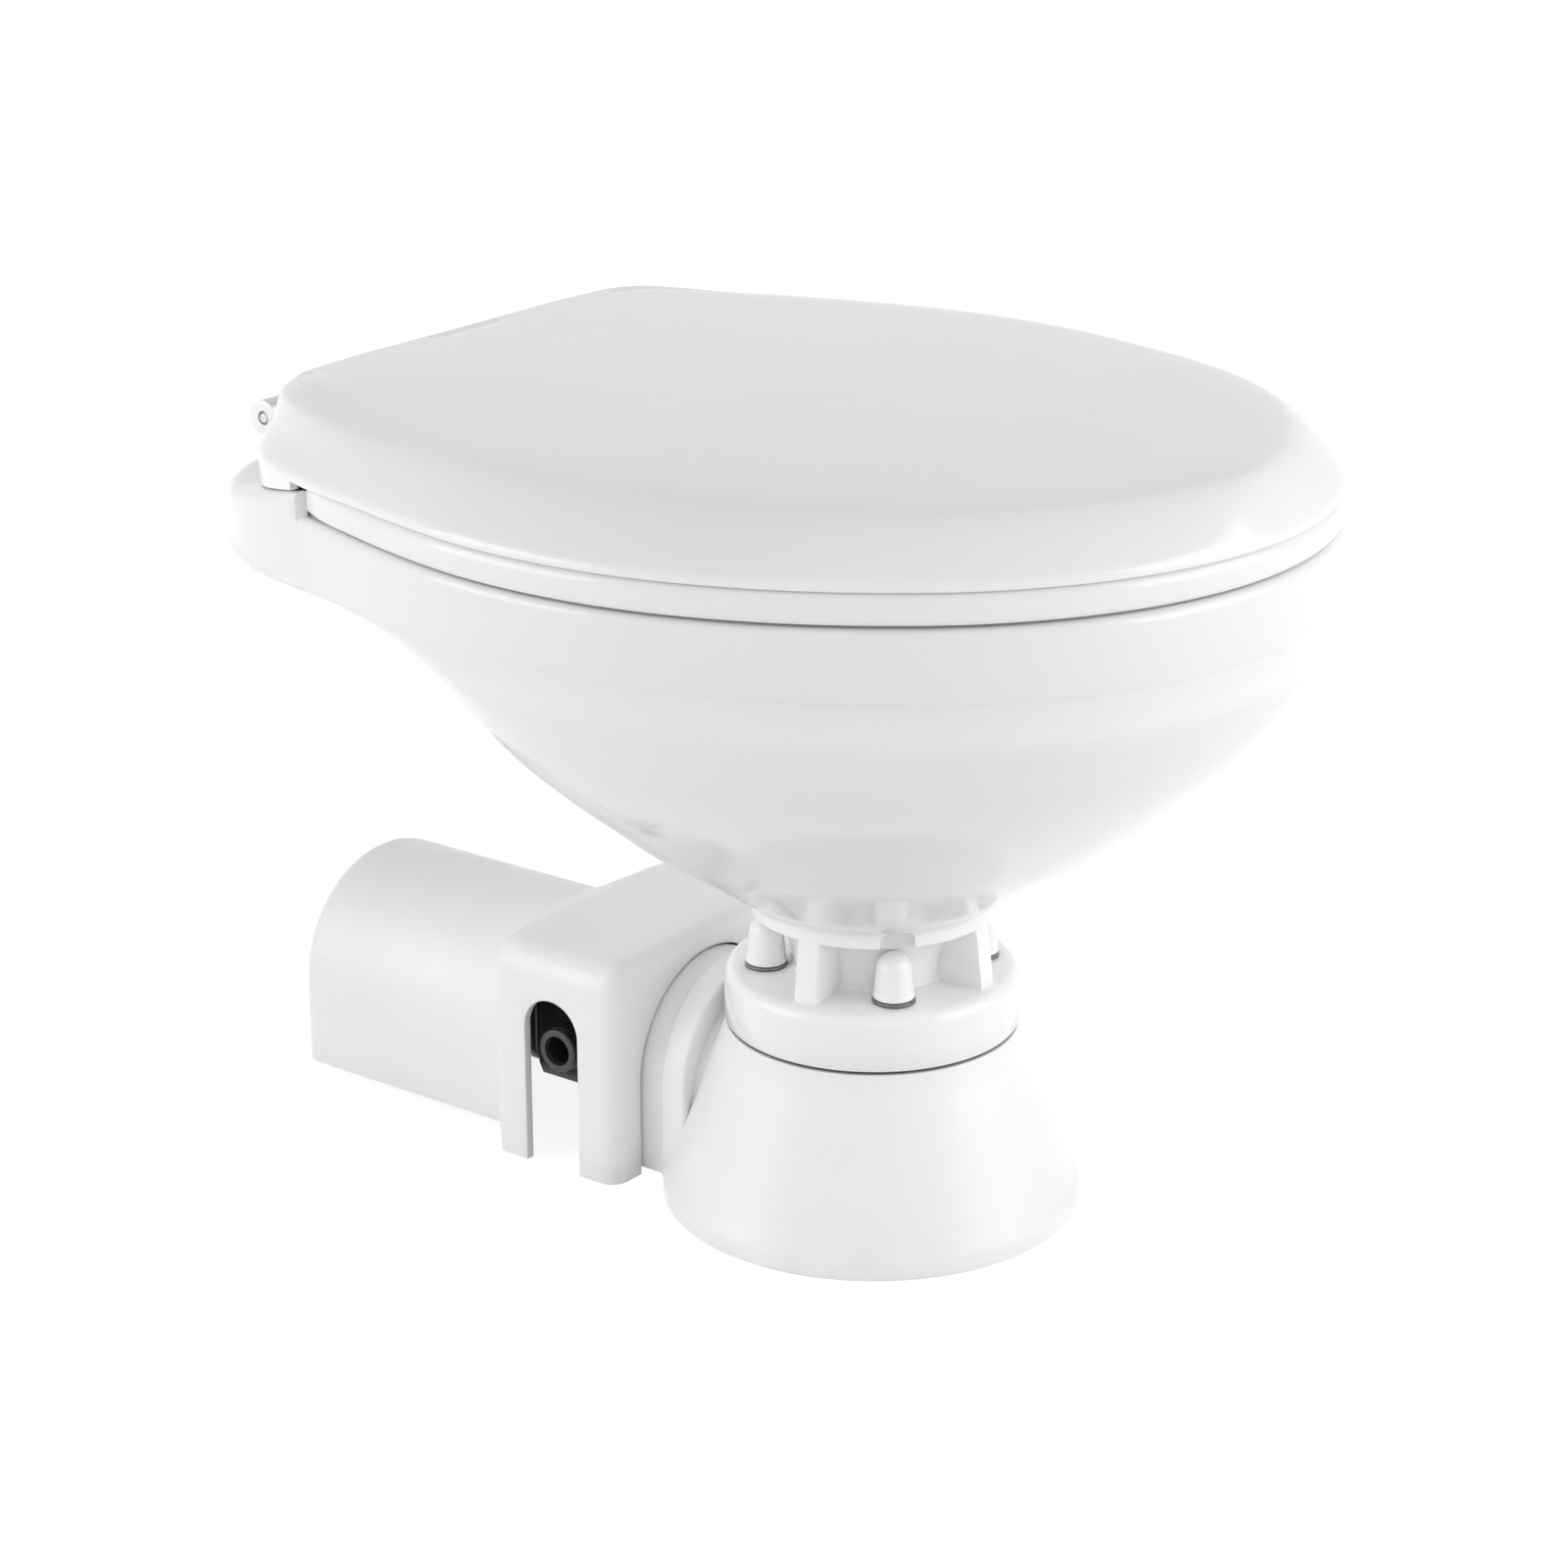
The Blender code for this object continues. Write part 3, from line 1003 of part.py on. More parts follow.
cut(cover, slab("cover_mouth",
                arch(collar_half_width + FIT - COVER_MOUTH_GAP, collar_height + FIT - 2 * COVER_MOUTH_GAP, -OVERRUN),
                cover_front - OVERRUN, cover_front + COVER_WALL + OVERRUN))
cut(cover, slab("cover_slot", arch(SLOT_HALF_WIDTH, axis_height + SLOT_RISE, -OVERRUN, 12, port_y),
                -COVER_BOX_HALF_WIDTH - OVERRUN, -COVER_BOX_HALF_WIDTH / 2, axis="X"))

for piece in (seat, lid):
    turn_on(piece, (0.0, hinge_y, hinge_z))
for piece in (motor_shaft, chopper, impeller):
    turn_on(piece, (0.0, shaft_front, axis_height))
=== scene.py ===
"""Electric marine toilet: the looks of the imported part, in metres and in the part's own frame.

The front of the bowl faces -Y and the motor lies behind along +Y. The script follows the object as it
is put together: base, bowl, hold-down bolts, seat, lid, hinges, cover, pump, motor, then the studio.
"""

import math

import bmesh
import bpy
import numpy as np
from mathutils import Matrix, Vector


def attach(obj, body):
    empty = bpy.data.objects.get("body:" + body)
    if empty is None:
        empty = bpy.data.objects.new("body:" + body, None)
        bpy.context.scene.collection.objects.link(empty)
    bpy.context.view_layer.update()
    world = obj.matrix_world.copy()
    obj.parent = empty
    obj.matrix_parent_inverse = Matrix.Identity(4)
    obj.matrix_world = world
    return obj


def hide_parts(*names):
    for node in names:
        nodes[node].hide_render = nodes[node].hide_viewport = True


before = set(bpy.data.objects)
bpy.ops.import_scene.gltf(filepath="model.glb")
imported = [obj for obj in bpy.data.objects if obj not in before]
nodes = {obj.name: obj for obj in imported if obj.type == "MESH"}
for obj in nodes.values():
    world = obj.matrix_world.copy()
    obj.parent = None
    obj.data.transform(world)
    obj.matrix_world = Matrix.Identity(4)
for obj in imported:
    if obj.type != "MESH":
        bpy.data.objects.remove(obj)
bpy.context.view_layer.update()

# ------------------------------------------------------------------------------------------ base
# The base is one white moulding: a cone that stands on the floor, with a sump in its middle and an
# arched collar and flange behind, which the pump is screwed to. Its surface is satin with a fine
# moulded grain.

PEDESTAL_Y = -0.044272
ROUND_SIDES = 144
OVERRUN = 0.01


class Signal:
    """A socket of a material, so that shader maths is written as ordinary expressions."""

    def __init__(self, owner, socket):
        self.owner = owner
        self.socket = socket

    def maths(self, operation, first, second):
        return self.owner.node("Math", {"operation": operation}, {0: first, 1: second})

    def __add__(self, other):
        return self.maths("ADD", self, other)

    def __mul__(self, other):
        return self.maths("MULTIPLY", self, other)


class Nodes:
    """The nodes of a material or of the world, and the one among them that the others feed."""

    def __init__(self, tree, shader):
        self.tree = tree
        self.shader = tree.nodes[shader]

    def feed(self, socket, signal):
        self.tree.links.new(signal.socket, self.shader.inputs[socket])

    def node(self, kind, settings, sockets, out=0):
        made = self.tree.nodes.new("ShaderNode" + kind)
        for key, value in settings.items():
            setattr(made, key, value)
        for key, value in sockets.items():
            if isinstance(value, Signal):
                self.tree.links.new(value.socket, made.inputs[key])
            else:
                made.inputs[key].default_value = value
        return Signal(self, made.outputs[out])


class Finish(Nodes):
    """One procedural material and the nodes that it is made of."""

    def __init__(self, name, roughness, **constants):
        self.material = bpy.data.materials.new(name)
        self.material.use_nodes = True
        super().__init__(self.material.node_tree, "Principled BSDF")
        self.shader.inputs["Roughness"].default_value = roughness
        for socket, value in constants.items():
            self.shader.inputs[socket.replace("_", " ").title()].default_value = value
        self.place = self.node("TexCoord", {}, {}, "Object")

    def noise(self, scale, detail=3.0, place=None):
        return self.node("TexNoise", {}, {"Vector": place or self.place, "Scale": scale, "Detail": detail})

    def stretched(self, scale):
        """Object coordinates scaled differently along each axis."""
        return self.node("Mapping", {}, {"Vector": self.place, "Scale": scale})

    def step(self, signal, low, high, start=0.0, stop=1.0):
        """Smooth step of a signal from low to high."""
        return self.node("MapRange", {"interpolation_type": "SMOOTHSTEP"},
                         {"Value": signal, "From Min": low, "From Max": high, "To Min": start, "To Max": stop})

    def tint(self, mask, colour, other):
        """Colour where the mask is 0, going over to the other colour where it is 1."""
        return self.node("Mix", {"data_type": "RGBA"}, {0: mask, 6: (*colour, 1.0), 7: (*other, 1.0)}, 2)

    def bump(self, height, depth, under=None):
        sockets = {"Height": height, "Distance": depth, "Strength": 1.0}
        if under is not None:
            sockets["Normal"] = under
        return self.node("Bump", {}, sockets)


def darker(colour, share):
    return tuple(channel * (1.0 - share) for channel in colour)


SOIL_BROWN = (0.56, 0.53, 0.48, 1.0)
SOIL_HEIGHT = 0.030


def white_moulding(name, colour, roughness, grain, depth, soil, coat=0.0):
    """White moulded plastic: faint flow marks in its colour, a grained surface, and soil near the floor."""
    made = Finish(name, roughness, coat_weight=coat, coat_roughness=0.12)
    flow = made.noise(7.0, 2.0, made.stretched((1.0, 1.0, 2.6)))
    cloud = made.noise(38.0, 4.0)
    height = made.node("SeparateXYZ", {}, {0: made.place}, "Z")
    low = made.step(height, SOIL_HEIGHT, 0.0) * made.step(cloud, 0.35, 0.75)
    shade = made.tint(made.step(flow, 0.38, 0.66), colour, darker(colour, 0.022))
    made.feed("Base Color", made.node("Mix", {"data_type": "RGBA"}, {0: low * soil, 6: shade, 7: SOIL_BROWN}, 2))
    made.feed("Roughness", made.step(cloud, 0.3, 0.7, roughness - 0.05, roughness + 0.06) + low * 0.12)
    pores = made.noise(grain, 2.0)
    made.feed("Normal", made.bump(pores, depth, made.bump(flow, 0.0006)))
    return made


def clear_selection():
    bpy.ops.object.select_all(action="DESELECT")


def take(piece):
    """Makes a piece the only selected and the active one."""
    clear_selection()
    piece.select_set(True)
    bpy.context.view_layer.objects.active = piece
    return piece


def settle(piece, name, finish, crease=32.0):
    """Names a piece, gives it its finish, and shades it smooth except at its sharp edges."""
    take(piece)
    piece.name = name
    piece.data.materials.clear()
    piece.data.materials.append(finish.material)
    bpy.ops.object.transform_apply(location=True, rotation=True, scale=True)
    bpy.ops.object.shade_smooth_by_angle(angle=math.radians(crease))
    return piece


def draw_rings(rings, sides=ROUND_SIDES, centre=(0.0, 0.0, 0.0), turn=(0.0, 0.0, 0.0)):
    """Round piece: a disc drawn on from ring to ring, each a (radius, height), and closed at both ends."""
    radius, level = rings[0]
    clear_selection()
    bpy.ops.mesh.primitive_circle_add(vertices=sides, radius=radius, fill_type="NGON", location=(0, 0, 0))
    piece = bpy.context.object
    bpy.ops.object.mode_set(mode="EDIT")
    bpy.ops.mesh.select_all(action="SELECT")
    bpy.ops.transform.translate(value=(0, 0, level))
    for wide, high in rings[1:]:
        bpy.ops.mesh.extrude_region_move(TRANSFORM_OT_translate={"value": (0, 0, high - level)})
        bpy.ops.transform.resize(value=(wide / radius, wide / radius, 1.0), center_override=(0, 0, high))
        radius, level = wide, high
    bpy.ops.mesh.select_all(action="SELECT")
    bpy.ops.mesh.normals_make_consistent(inside=False)
    bpy.ops.object.mode_set(mode="OBJECT")
    piece.rotation_euler = turn
    piece.location = centre
    bpy.ops.object.transform_apply(location=True, rotation=True, scale=True)
    return piece


def rod(radius, low, high, sides=ROUND_SIDES, centre=(0.0, 0.0, 0.0), turn=(0.0, 0.0, 0.0)):
    """Plain cylinder, to be put on a piece or bored out of it."""
    return draw_rings([(radius, low), (radius, high)], sides, centre, turn)


def corner(radius, level, edge, start, stop, steps=5):
    """Points of a rounded edge of a turned piece, about (radius, level), from one angle to another."""
    points = []
    for i in range(steps + 1):
        lean = math.radians(start + (stop - start) * i / steps)
        points.append((radius + edge * math.cos(lean), level + edge * math.sin(lean)))
    return points


def combine(piece, tool, operation):
    """Joins a tool to a piece, or cuts it out of it, and removes the tool."""
    take(piece)
    step = piece.modifiers.new(operation.lower(), "BOOLEAN")
    step.operation = operation
    step.solver = "MANIFOLD"
    step.object = tool
    bpy.ops.object.modifier_apply(modifier=step.name)
    bpy.data.objects.remove(tool)
    return piece


def soften(piece, width, segments=2, angle=32.0):
    """Rounds the sharp edges of a piece."""
    take(piece)
    step = piece.modifiers.new("edges", "BEVEL")
    step.limit_method = "ANGLE"
    step.angle_limit = math.radians(angle)
    step.width = width
    step.segments = segments
    step.use_clamp_overlap = True
    bpy.ops.object.modifier_apply(modifier=step.name)
    return piece


def arched_block(half_width, top, foot, front, rear, sides=72, centre=0.0, across="X"):
    """Upright plate with a half-round top: a disc, its lower half drawn down, given its length along Y or X."""
    clear_selection()
    bpy.ops.mesh.primitive_circle_add(vertices=sides, radius=half_width, fill_type="NGON", location=(0, 0, 0))
    piece = bpy.context.object
    bpy.ops.object.mode_set(mode="EDIT")
    work = bmesh.from_edit_mesh(piece.data)
    middle = top - half_width
    for vert in work.verts:
        flat_x, flat_y = vert.co.x, vert.co.y
        if abs(flat_x) > half_width * 0.9999 and abs(flat_y) < 1e-6:
            flat_y = 0.0
        if flat_y < -1e-6:
            flat_y = foot - middle
        vert.co = (flat_x, 0.0, middle + flat_y)
    bmesh.update_edit_mesh(piece.data)
    bpy.ops.mesh.select_all(action="SELECT")
    bpy.ops.mesh.dissolve_limited(angle_limit=math.radians(0.2))
    bpy.ops.mesh.select_all(action="SELECT")
    bpy.ops.transform.translate(value=(0, front, 0))
    bpy.ops.mesh.extrude_region_move(TRANSFORM_OT_translate={"value": (0, rear - front, 0)})
    bpy.ops.mesh.select_all(action="SELECT")
    bpy.ops.mesh.normals_make_consistent(inside=False)
    bpy.ops.object.mode_set(mode="OBJECT")
    if across == "Y":
        piece.data.transform(Matrix(((0, 1, 0, 0), (1, 0, 0, centre), (0, 0, 1, 0), (0, 0, 0, 1))))
        piece.data.flip_normals()
    else:
        piece.data.transform(Matrix.Translation((centre, 0, 0)))
    return piece


BASE_RADIUS = 0.0863
BASE_TOP_RADIUS = 0.0602
BASE_HEIGHT = 0.0775
BASE_SKIRT = 0.008
BASE_WALL = 0.006
BASE_EDGE = 0.0018
HOLLOW_TOP = 0.0675
SUMP_RADIUS = 0.024
SUMP_OUTER = 0.032
SUMP_FLOOR = 0.014
COLLAR_HALF = 0.047
COLLAR_TOP = 0.088
COLLAR_FRONT = 0.0615
COLLAR_REAR = 0.0740
FLANGE_REAR = 0.0880
FLANGE_STEP = 0.0018
FAIRING_STEP = 0.006
COLLAR_LIFT = 0.0012
FLANGE_LIFT = 0.0024
SHAFT_HEIGHT = 0.052
INLET_RADIUS = 0.018
BOSS_RADIUS = 0.009
BOSS_HOLE = 0.0033
BOLT_X = 0.030
BOLT_Y = 0.0315
BOLTS = {"fl": (-BOLT_X, -BOLT_Y, 0.0), "fr": (BOLT_X, -BOLT_Y, 0.0),
         "rl": (-BOLT_X, BOLT_Y, 0.0), "rr": (BOLT_X, BOLT_Y, 0.0)}
HOUSING_SCREW_X = 0.031
HOUSING_SCREW_Z = 0.017
HOUSING_SCREW_HOLE = 0.0023
HOUSING_SCREW_END = 0.0777
CLEARANCE = 0.0003
CONE_SAG = 0.0007
TOP_EDGE = 0.0007

MOULDED_WHITE = (0.86, 0.86, 0.855)
moulding = white_moulding("moulding_white_finish", MOULDED_WHITE, 0.33, 2600.0, 0.00004, 0.16)

skirt_inner = BASE_RADIUS - BASE_EDGE - BASE_WALL
base_rings = [(SUMP_OUTER, 0.0), (SUMP_OUTER, HOLLOW_TOP - 0.003), (SUMP_OUTER + 0.001, HOLLOW_TOP - 0.001),
              (SUMP_OUTER + 0.003, HOLLOW_TOP), (BASE_TOP_RADIUS - BASE_WALL - 0.002, HOLLOW_TOP),
              (BASE_TOP_RADIUS - BASE_WALL, HOLLOW_TOP - 0.002),
              (skirt_inner, BASE_SKIRT), (skirt_inner, 0.0008), (skirt_inner + 0.0008, 0.0)]
base_rings += corner(BASE_RADIUS - BASE_EDGE, BASE_EDGE, BASE_EDGE, -90, 0)
base_rings += [(BASE_RADIUS, BASE_SKIRT - 0.0020), (BASE_RADIUS - 0.0002, BASE_SKIRT - 0.0004),
               (BASE_RADIUS - 0.0009, BASE_SKIRT + 0.0010), (BASE_RADIUS - 0.0022, BASE_SKIRT + 0.0034)]
cone_foot = base_rings[-1]
cone_head = (BASE_TOP_RADIUS, BASE_HEIGHT - BASE_EDGE)
for share in (0.12, 0.25, 0.4, 0.55, 0.7, 0.85, 1.0):
    sag = CONE_SAG * math.sin(math.pi * share)
    base_rings.append((cone_foot[0] + (cone_head[0] - cone_foot[0]) * share - sag,
                       cone_foot[1] + (cone_head[1] - cone_foot[1]) * share))
base_rings += corner(BASE_TOP_RADIUS - TOP_EDGE, BASE_HEIGHT - TOP_EDGE, TOP_EDGE, 15, 90, 4)
base_rings += [(SUMP_RADIUS + 0.001, BASE_HEIGHT), (SUMP_RADIUS, BASE_HEIGHT - 0.001),
               (SUMP_RADIUS, SUMP_FLOOR + 0.003), (SUMP_RADIUS - 0.001, SUMP_FLOOR + 0.001),
               (SUMP_RADIUS - 0.003, SUMP_FLOOR)]
base = draw_rings(base_rings)

# Collar, flange and the fairing that leads from them into the cone
flange_front = COLLAR_REAR - 0.006
for half, top, foot, front, rear, edge in (
        (COLLAR_HALF, COLLAR_TOP, COLLAR_LIFT, COLLAR_FRONT, COLLAR_REAR, 0.0016),
        (COLLAR_HALF - FLANGE_STEP, COLLAR_TOP - FLANGE_STEP, FLANGE_LIFT, flange_front, FLANGE_REAR, 0.0005),
        (COLLAR_HALF - FAIRING_STEP, BASE_HEIGHT - BASE_EDGE, FLANGE_LIFT,
         0.75 * BASE_TOP_RADIUS, COLLAR_FRONT + 0.006, 0.003)):
    plate = arched_block(half, top, foot, front, rear)
    soften(plate, edge, 4)
    combine(base, plate, "UNION")

# Waste passage from the sump to the pump, then bosses and holes for the bolts and screws
lying = (math.radians(-90), 0.0, 0.0)
combine(base, rod(INLET_RADIUS + BASE_WALL, 0.0, flange_front - SUMP_RADIUS / 2, 96,
                  (0, SUMP_RADIUS / 2, SHAFT_HEIGHT), lying), "UNION")
combine(base, rod(SUMP_RADIUS, SUMP_FLOOR, BASE_HEIGHT + OVERRUN), "DIFFERENCE")
combine(base, rod(INLET_RADIUS, 0.0, FLANGE_REAR + OVERRUN, 96, (0, 0, SHAFT_HEIGHT), lying), "DIFFERENCE")
for spot in BOLTS.values():
    combine(base, draw_rings([(BOSS_RADIUS, 0.0), (BOSS_RADIUS + 0.0004, HOLLOW_TOP + 0.004)], 40, spot), "UNION")
    combine(base, rod(BOSS_HOLE, -OVERRUN, BASE_HEIGHT + OVERRUN, 24, spot), "DIFFERENCE")
for side in (-1, 1):
    for way in (-1, 1):
        spot = (side * HOUSING_SCREW_X, 0, SHAFT_HEIGHT + way * HOUSING_SCREW_Z)
        combine(base, rod(HOUSING_SCREW_HOLE, HOUSING_SCREW_END, FLANGE_REAR + OVERRUN, 24, spot, lying),
                "DIFFERENCE")
base.data.transform(Matrix.Translation((0, PEDESTAL_Y, 0)))
settle(base, "base_moulding", moulding, 28.0)
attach(base, "pedestal")
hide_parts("base")

# ------------------------------------------------------------------------------------------ bowl
# The bowl is one piece of white vitreous china, slip cast and glazed: foot, four webs with a recess
# for each hold-down bolt, neck, body, flush rim and hinge deck. It stands on a flat rubber gasket.

RIM_HEIGHT = 0.298
HALF_WIDTH = 0.187
OUTLINE_Y = 0.020
NECK_TOP = 0.128
NECK_RADIUS = 0.0505
FOOT_BOTTOM = 0.080
FOOT_TOP = 0.102
FOOT_EDGE = 0.005
WEB_RADIUS = 0.0532
WEB_HALF_ANGLE = 6.5
WEB_TURN = 5.0
WEB_SOFTNESS = 2.6
CORE_RADIUS = 0.0335
RECESS_FILLET = 0.0026
RECESS_TOP = 0.1274
RIM_BAND = 0.030
BAND_BOTTOM = RIM_HEIGHT - RIM_BAND
RIM_TAPER = 0.005
RIM_EDGE = 0.0035
DECK_EDGE = 0.0085
DECK_BLEND = 14.0
THROAT = (0.141, 0.140, 0.118)  # half width, then how far the opening reaches to the front and to the rear
LIP_EDGE = 0.004
RIM_LIP = 0.023
OUTLET_RADIUS = 0.023
SHOULDER_ANGLE = 131.5
SHOULDER_Y = 0.1617
SHOULDER_HEIGHT = 0.0093
SHOULDER_LENGTH = 0.0465
SHOULDER_GAP = 0.0022

# Plan outlines, each 10 degrees from front to rear: radius over half width
RIM_SHARES = (1.088, 1.084, 1.073, 1.057, 1.040, 1.021, 1.009, 1.004, 1.004, 1.0062,
              1.0133, 1.026, 1.055, 1.114, 1.235, 1.300, 1.272, 1.240, 1.230)
SEAT_SHARES = (1.088, 1.084, 1.073, 1.057, 1.039, 1.020, 1.009, 1.004, 1.004, 1.0062,
               1.0133, 1.026, 1.054, 1.102, 1.128, 1.118, 1.055, 1.003, 0.985)
TAPER_SHARES = (0.0, 0.0, 0.3, 0.8, 0.5, 0.0, 0.0)
# Rings of the body: height share, then side, front and rear over half width, then shift of the centre
BODY_SHARES = (
    (0.035, 0.276, 0.276, 0.270, 0.0),
    (0.075, 0.335, 0.329, 0.268, 0.1),
    (0.160, 0.449, 0.444, 0.345, 0.2),
    (0.247, 0.567, 0.559, 0.442, 0.3),
    (0.335, 0.663, 0.658, 0.532, 0.45),
    (0.424, 0.757, 0.749, 0.619, 0.6),
    (0.512, 0.838, 0.832, 0.712, 0.7),
    (0.600, 0.903, 0.900, 0.788, 0.8),
    (0.676, 0.938, 0.945, 0.870, 0.9),
    (0.735, 0.960, 0.970, 0.986, 1.0),
)
BASIN_SHARES = (
    (0.815, 0.846, 0.856, 0.728, 0.8),
    (0.790, 0.856, 0.866, 0.742, 0.8),
    (0.700, 0.875, 0.880, 0.765, 0.7),
    (0.600, 0.835, 0.830, 0.735, 0.6),
    (0.424, 0.685, 0.675, 0.565, 0.4),
    (0.247, 0.490, 0.480, 0.375, 0.2),
    (0.110, 0.310, 0.300, 0.235, 0.1),
)


def rounding(radius, leans):
    """How far a rounded edge lies inside the sharp one, both ways, at angles round it in degrees."""
    return [(radius * (1 - math.cos(math.radians(lean))), radius * (1 - math.sin(math.radians(lean))))
            for lean in leans]


def smooth_step(value):
    value = min(max(value, 0.0), 1.0)
    return value * value * (3.0 - 2.0 * value)


def from_front(angle):
    """How far an angle lies from the front, on either side."""
    return abs((angle + 180.0) % 360.0 - 180.0)


def share_at(shares, angle):
    """Smooth value of a half outline's table at an angle from the front, in degrees."""
    last = len(shares) - 1
    place = from_front(angle) / 180.0 * last
    low = min(int(place), last - 1)
    part = place - low
    before, here = shares[abs(low - 1)], shares[low]
    there, after = shares[low + 1], shares[last - abs(last - (low + 2))]
    slope_here, slope_there = (there - before) / 2, (after - here) / 2
    square, cube = part * part, part * part * part
    return ((2 * cube - 3 * square + 1) * here + (cube - 2 * square + part) * slope_here
            + (3 * square - 2 * cube) * there + (cube - square) * slope_there)


def quarter_angles():
    """Angles across one quarter, closer together at the edges of the foot's webs."""
    close = [WEB_HALF_ANGLE + shift for shift in (-2.0, -1.3, -0.8, -0.4, 0.0, 0.4, 0.8, 1.3, 2.0)]
    low = [0.0, 1.6, 3.2, 4.8, 6.4]
    middle = [WEB_HALF_ANGLE + 2.0 + (90.0 - 2 * WEB_HALF_ANGLE - 4.0) * i / 44 for i in range(1, 44)]
    return low + close + middle + [90.0 - angle for angle in reversed(low[1:] + close)]


def with_steps(angles, step):
    """Angles with a close pair put in at each side, where an outline has an upright step."""
    pairs = [step - 0.05, step + 0.05, 360.0 - step - 0.05, 360.0 - step + 0.05]
    return sorted([angle for angle in angles if all(abs(angle - other) > 0.4 for other in pairs)] + pairs)


BOWL_ANGLES = with_steps([(90.0 * quarter + angle + WEB_TURN) % 360.0
                          for quarter in range(4) for angle in quarter_angles()], SHOULDER_ANGLE)


def outline_point(radius, angle, height):
    """Point of a plan outline, at an angle from the front about the outline's centre."""
    return radius * math.sin(math.radians(angle)), OUTLINE_Y - radius * math.cos(math.radians(angle)), height


def oval_ring(side, front, rear, height, centre=0.0, power=2.05):
    ring = []
    for angle in BOWL_ANGLES:
        sine, cosine = math.sin(math.radians(angle)), math.cos(math.radians(angle))
        across = math.copysign(abs(sine) ** (2 / power), sine)
        along = math.copysign(abs(cosine) ** (2 / power), cosine)
        reach = front + centre if cosine > 0 else rear - centre
        ring.append((side * across, centre - reach * along, height))
    return np.array(ring)


def body_ring(shares):
    level, side, front, rear, shift = shares
    return oval_ring(side * HALF_WIDTH, front * HALF_WIDTH, rear * HALF_WIDTH,
                     NECK_TOP + level * (RIM_HEIGHT - NECK_TOP), shift * OUTLINE_Y)


def shoulder(angle, place):
    """Height of the raised shoulder beside the hinge at a point, which slopes down to the rear of the deck."""
    if from_front(angle) < SHOULDER_ANGLE:
        return 0.0
    return max(0.0, SHOULDER_HEIGHT * (1.0 - (place - SHOULDER_Y) / SHOULDER_LENGTH))


def rim_ring(height, edge_share, drop_share=0.0):
    """Ring of rim and deck: its edge drawn in by a share of the edge's radius, and lowered by another."""
    ring = []
    for angle in BOWL_ANGLES:
        behind = from_front(angle) - SHOULDER_ANGLE
        edge = RIM_EDGE + (DECK_EDGE - RIM_EDGE) * smooth_step(behind / DECK_BLEND)
        level = height - edge * drop_share
        taper = RIM_TAPER * share_at(TAPER_SHARES, angle) * (RIM_HEIGHT - level) / RIM_BAND
        radius = share_at(RIM_SHARES, angle) * HALF_WIDTH - edge * edge_share - taper
        x, y, z = outline_point(radius, angle, level)
        lift = shoulder(angle, y) if height == RIM_HEIGHT and drop_share <= 1.0 else 0.0
        ring.append((x, y, z + lift))
    return np.array(ring)


def inner_edge(deck_top, inset, drop):
    """Ring on top of the rim where the shoulders end, just outside the seat."""
    ring = []
    for angle, (x, y, z) in zip(BOWL_ANGLES, deck_top):
        radius = math.hypot(x, y - OUTLINE_Y) - 0.0003
        if from_front(angle) > SHOULDER_ANGLE:
            radius = min(radius, share_at(SEAT_SHARES, angle) * HALF_WIDTH + SHOULDER_GAP)
        x, y, z = outline_point(radius - inset, angle, RIM_HEIGHT)
        ring.append((x, y, z + max(shoulder(angle, y) - drop, 0.0)))
    return np.array(ring)


def flow_through(rings, steps):
    """More rings on a smooth curve through the given ones."""
    made = []
    for i in range(len(rings) - 1):
        before, here = rings[max(i - 1, 0)], rings[i]
        there, after = rings[i + 1], rings[min(i + 2, len(rings) - 1)]
        for k in range(steps):
            part = k / steps
            made.append(0.5 * (2 * here + (there - before) * part
                               + (2 * before - 5 * here + 4 * there - after) * part ** 2
                               + (3 * here - before - 3 * there + after) * part ** 3))
    return made + [rings[-1]]


def face_outwards(piece, merge=0.0):
    """Merges points that lie together, if asked to, and turns every face outwards."""
    take(piece)
    bpy.ops.object.mode_set(mode="EDIT")
    bpy.ops.mesh.select_all(action="SELECT")
    if merge:
        bpy.ops.mesh.remove_doubles(threshold=merge)
    bpy.ops.mesh.normals_make_consistent(inside=False)
    bpy.ops.object.mode_set(mode="OBJECT")
    return piece


def loft(name, rings, loop=False, caps=(True, True), wrap=True):
    """Skin through rings of equally many points. Loop joins the last ring to the first, caps close both ends."""
    count = len(rings[0])
    points = np.concatenate(rings)
    faces = []
    stop = len(rings) if loop else len(rings) - 1
    for row in range(stop):
        above = (row + 1) % len(rings)
        for i in range(count if wrap else count - 1):
            j = (i + 1) % count
            faces.append((row * count + i, row * count + j, above * count + j, above * count + i))
    if caps[0] and not loop:
        faces.append(tuple(range(count)))
    if caps[1] and not loop:
        faces.append(tuple(range((len(rings) - 1) * count, len(rings) * count)))
    mesh = bpy.data.meshes.new(name)
    mesh.from_pydata(points.tolist(), [], faces)
    piece = bpy.data.objects.new(name, mesh)
    bpy.context.scene.collection.objects.link(piece)
    return face_outwards(piece)


def recess(ring, strength=1.0):
    """Draws a ring in to the foot's core between the webs, with soft glazed edges."""
    made = ring.copy()
    for row, angle in zip(made, BOWL_ANGLES):
        turned = (angle - WEB_TURN) % 90.0
        inside = min(turned, 90.0 - turned) - WEB_HALF_ANGLE
        depth = smooth_step((inside + WEB_SOFTNESS / 2) / WEB_SOFTNESS) * strength
        radius = math.hypot(row[0], row[1])
        row[:2] *= (radius + (CORE_RADIUS - radius) * depth) / radius
    return made


def foot_ring(radius, height):
    return oval_ring(radius, radius, radius, height, power=2.0)


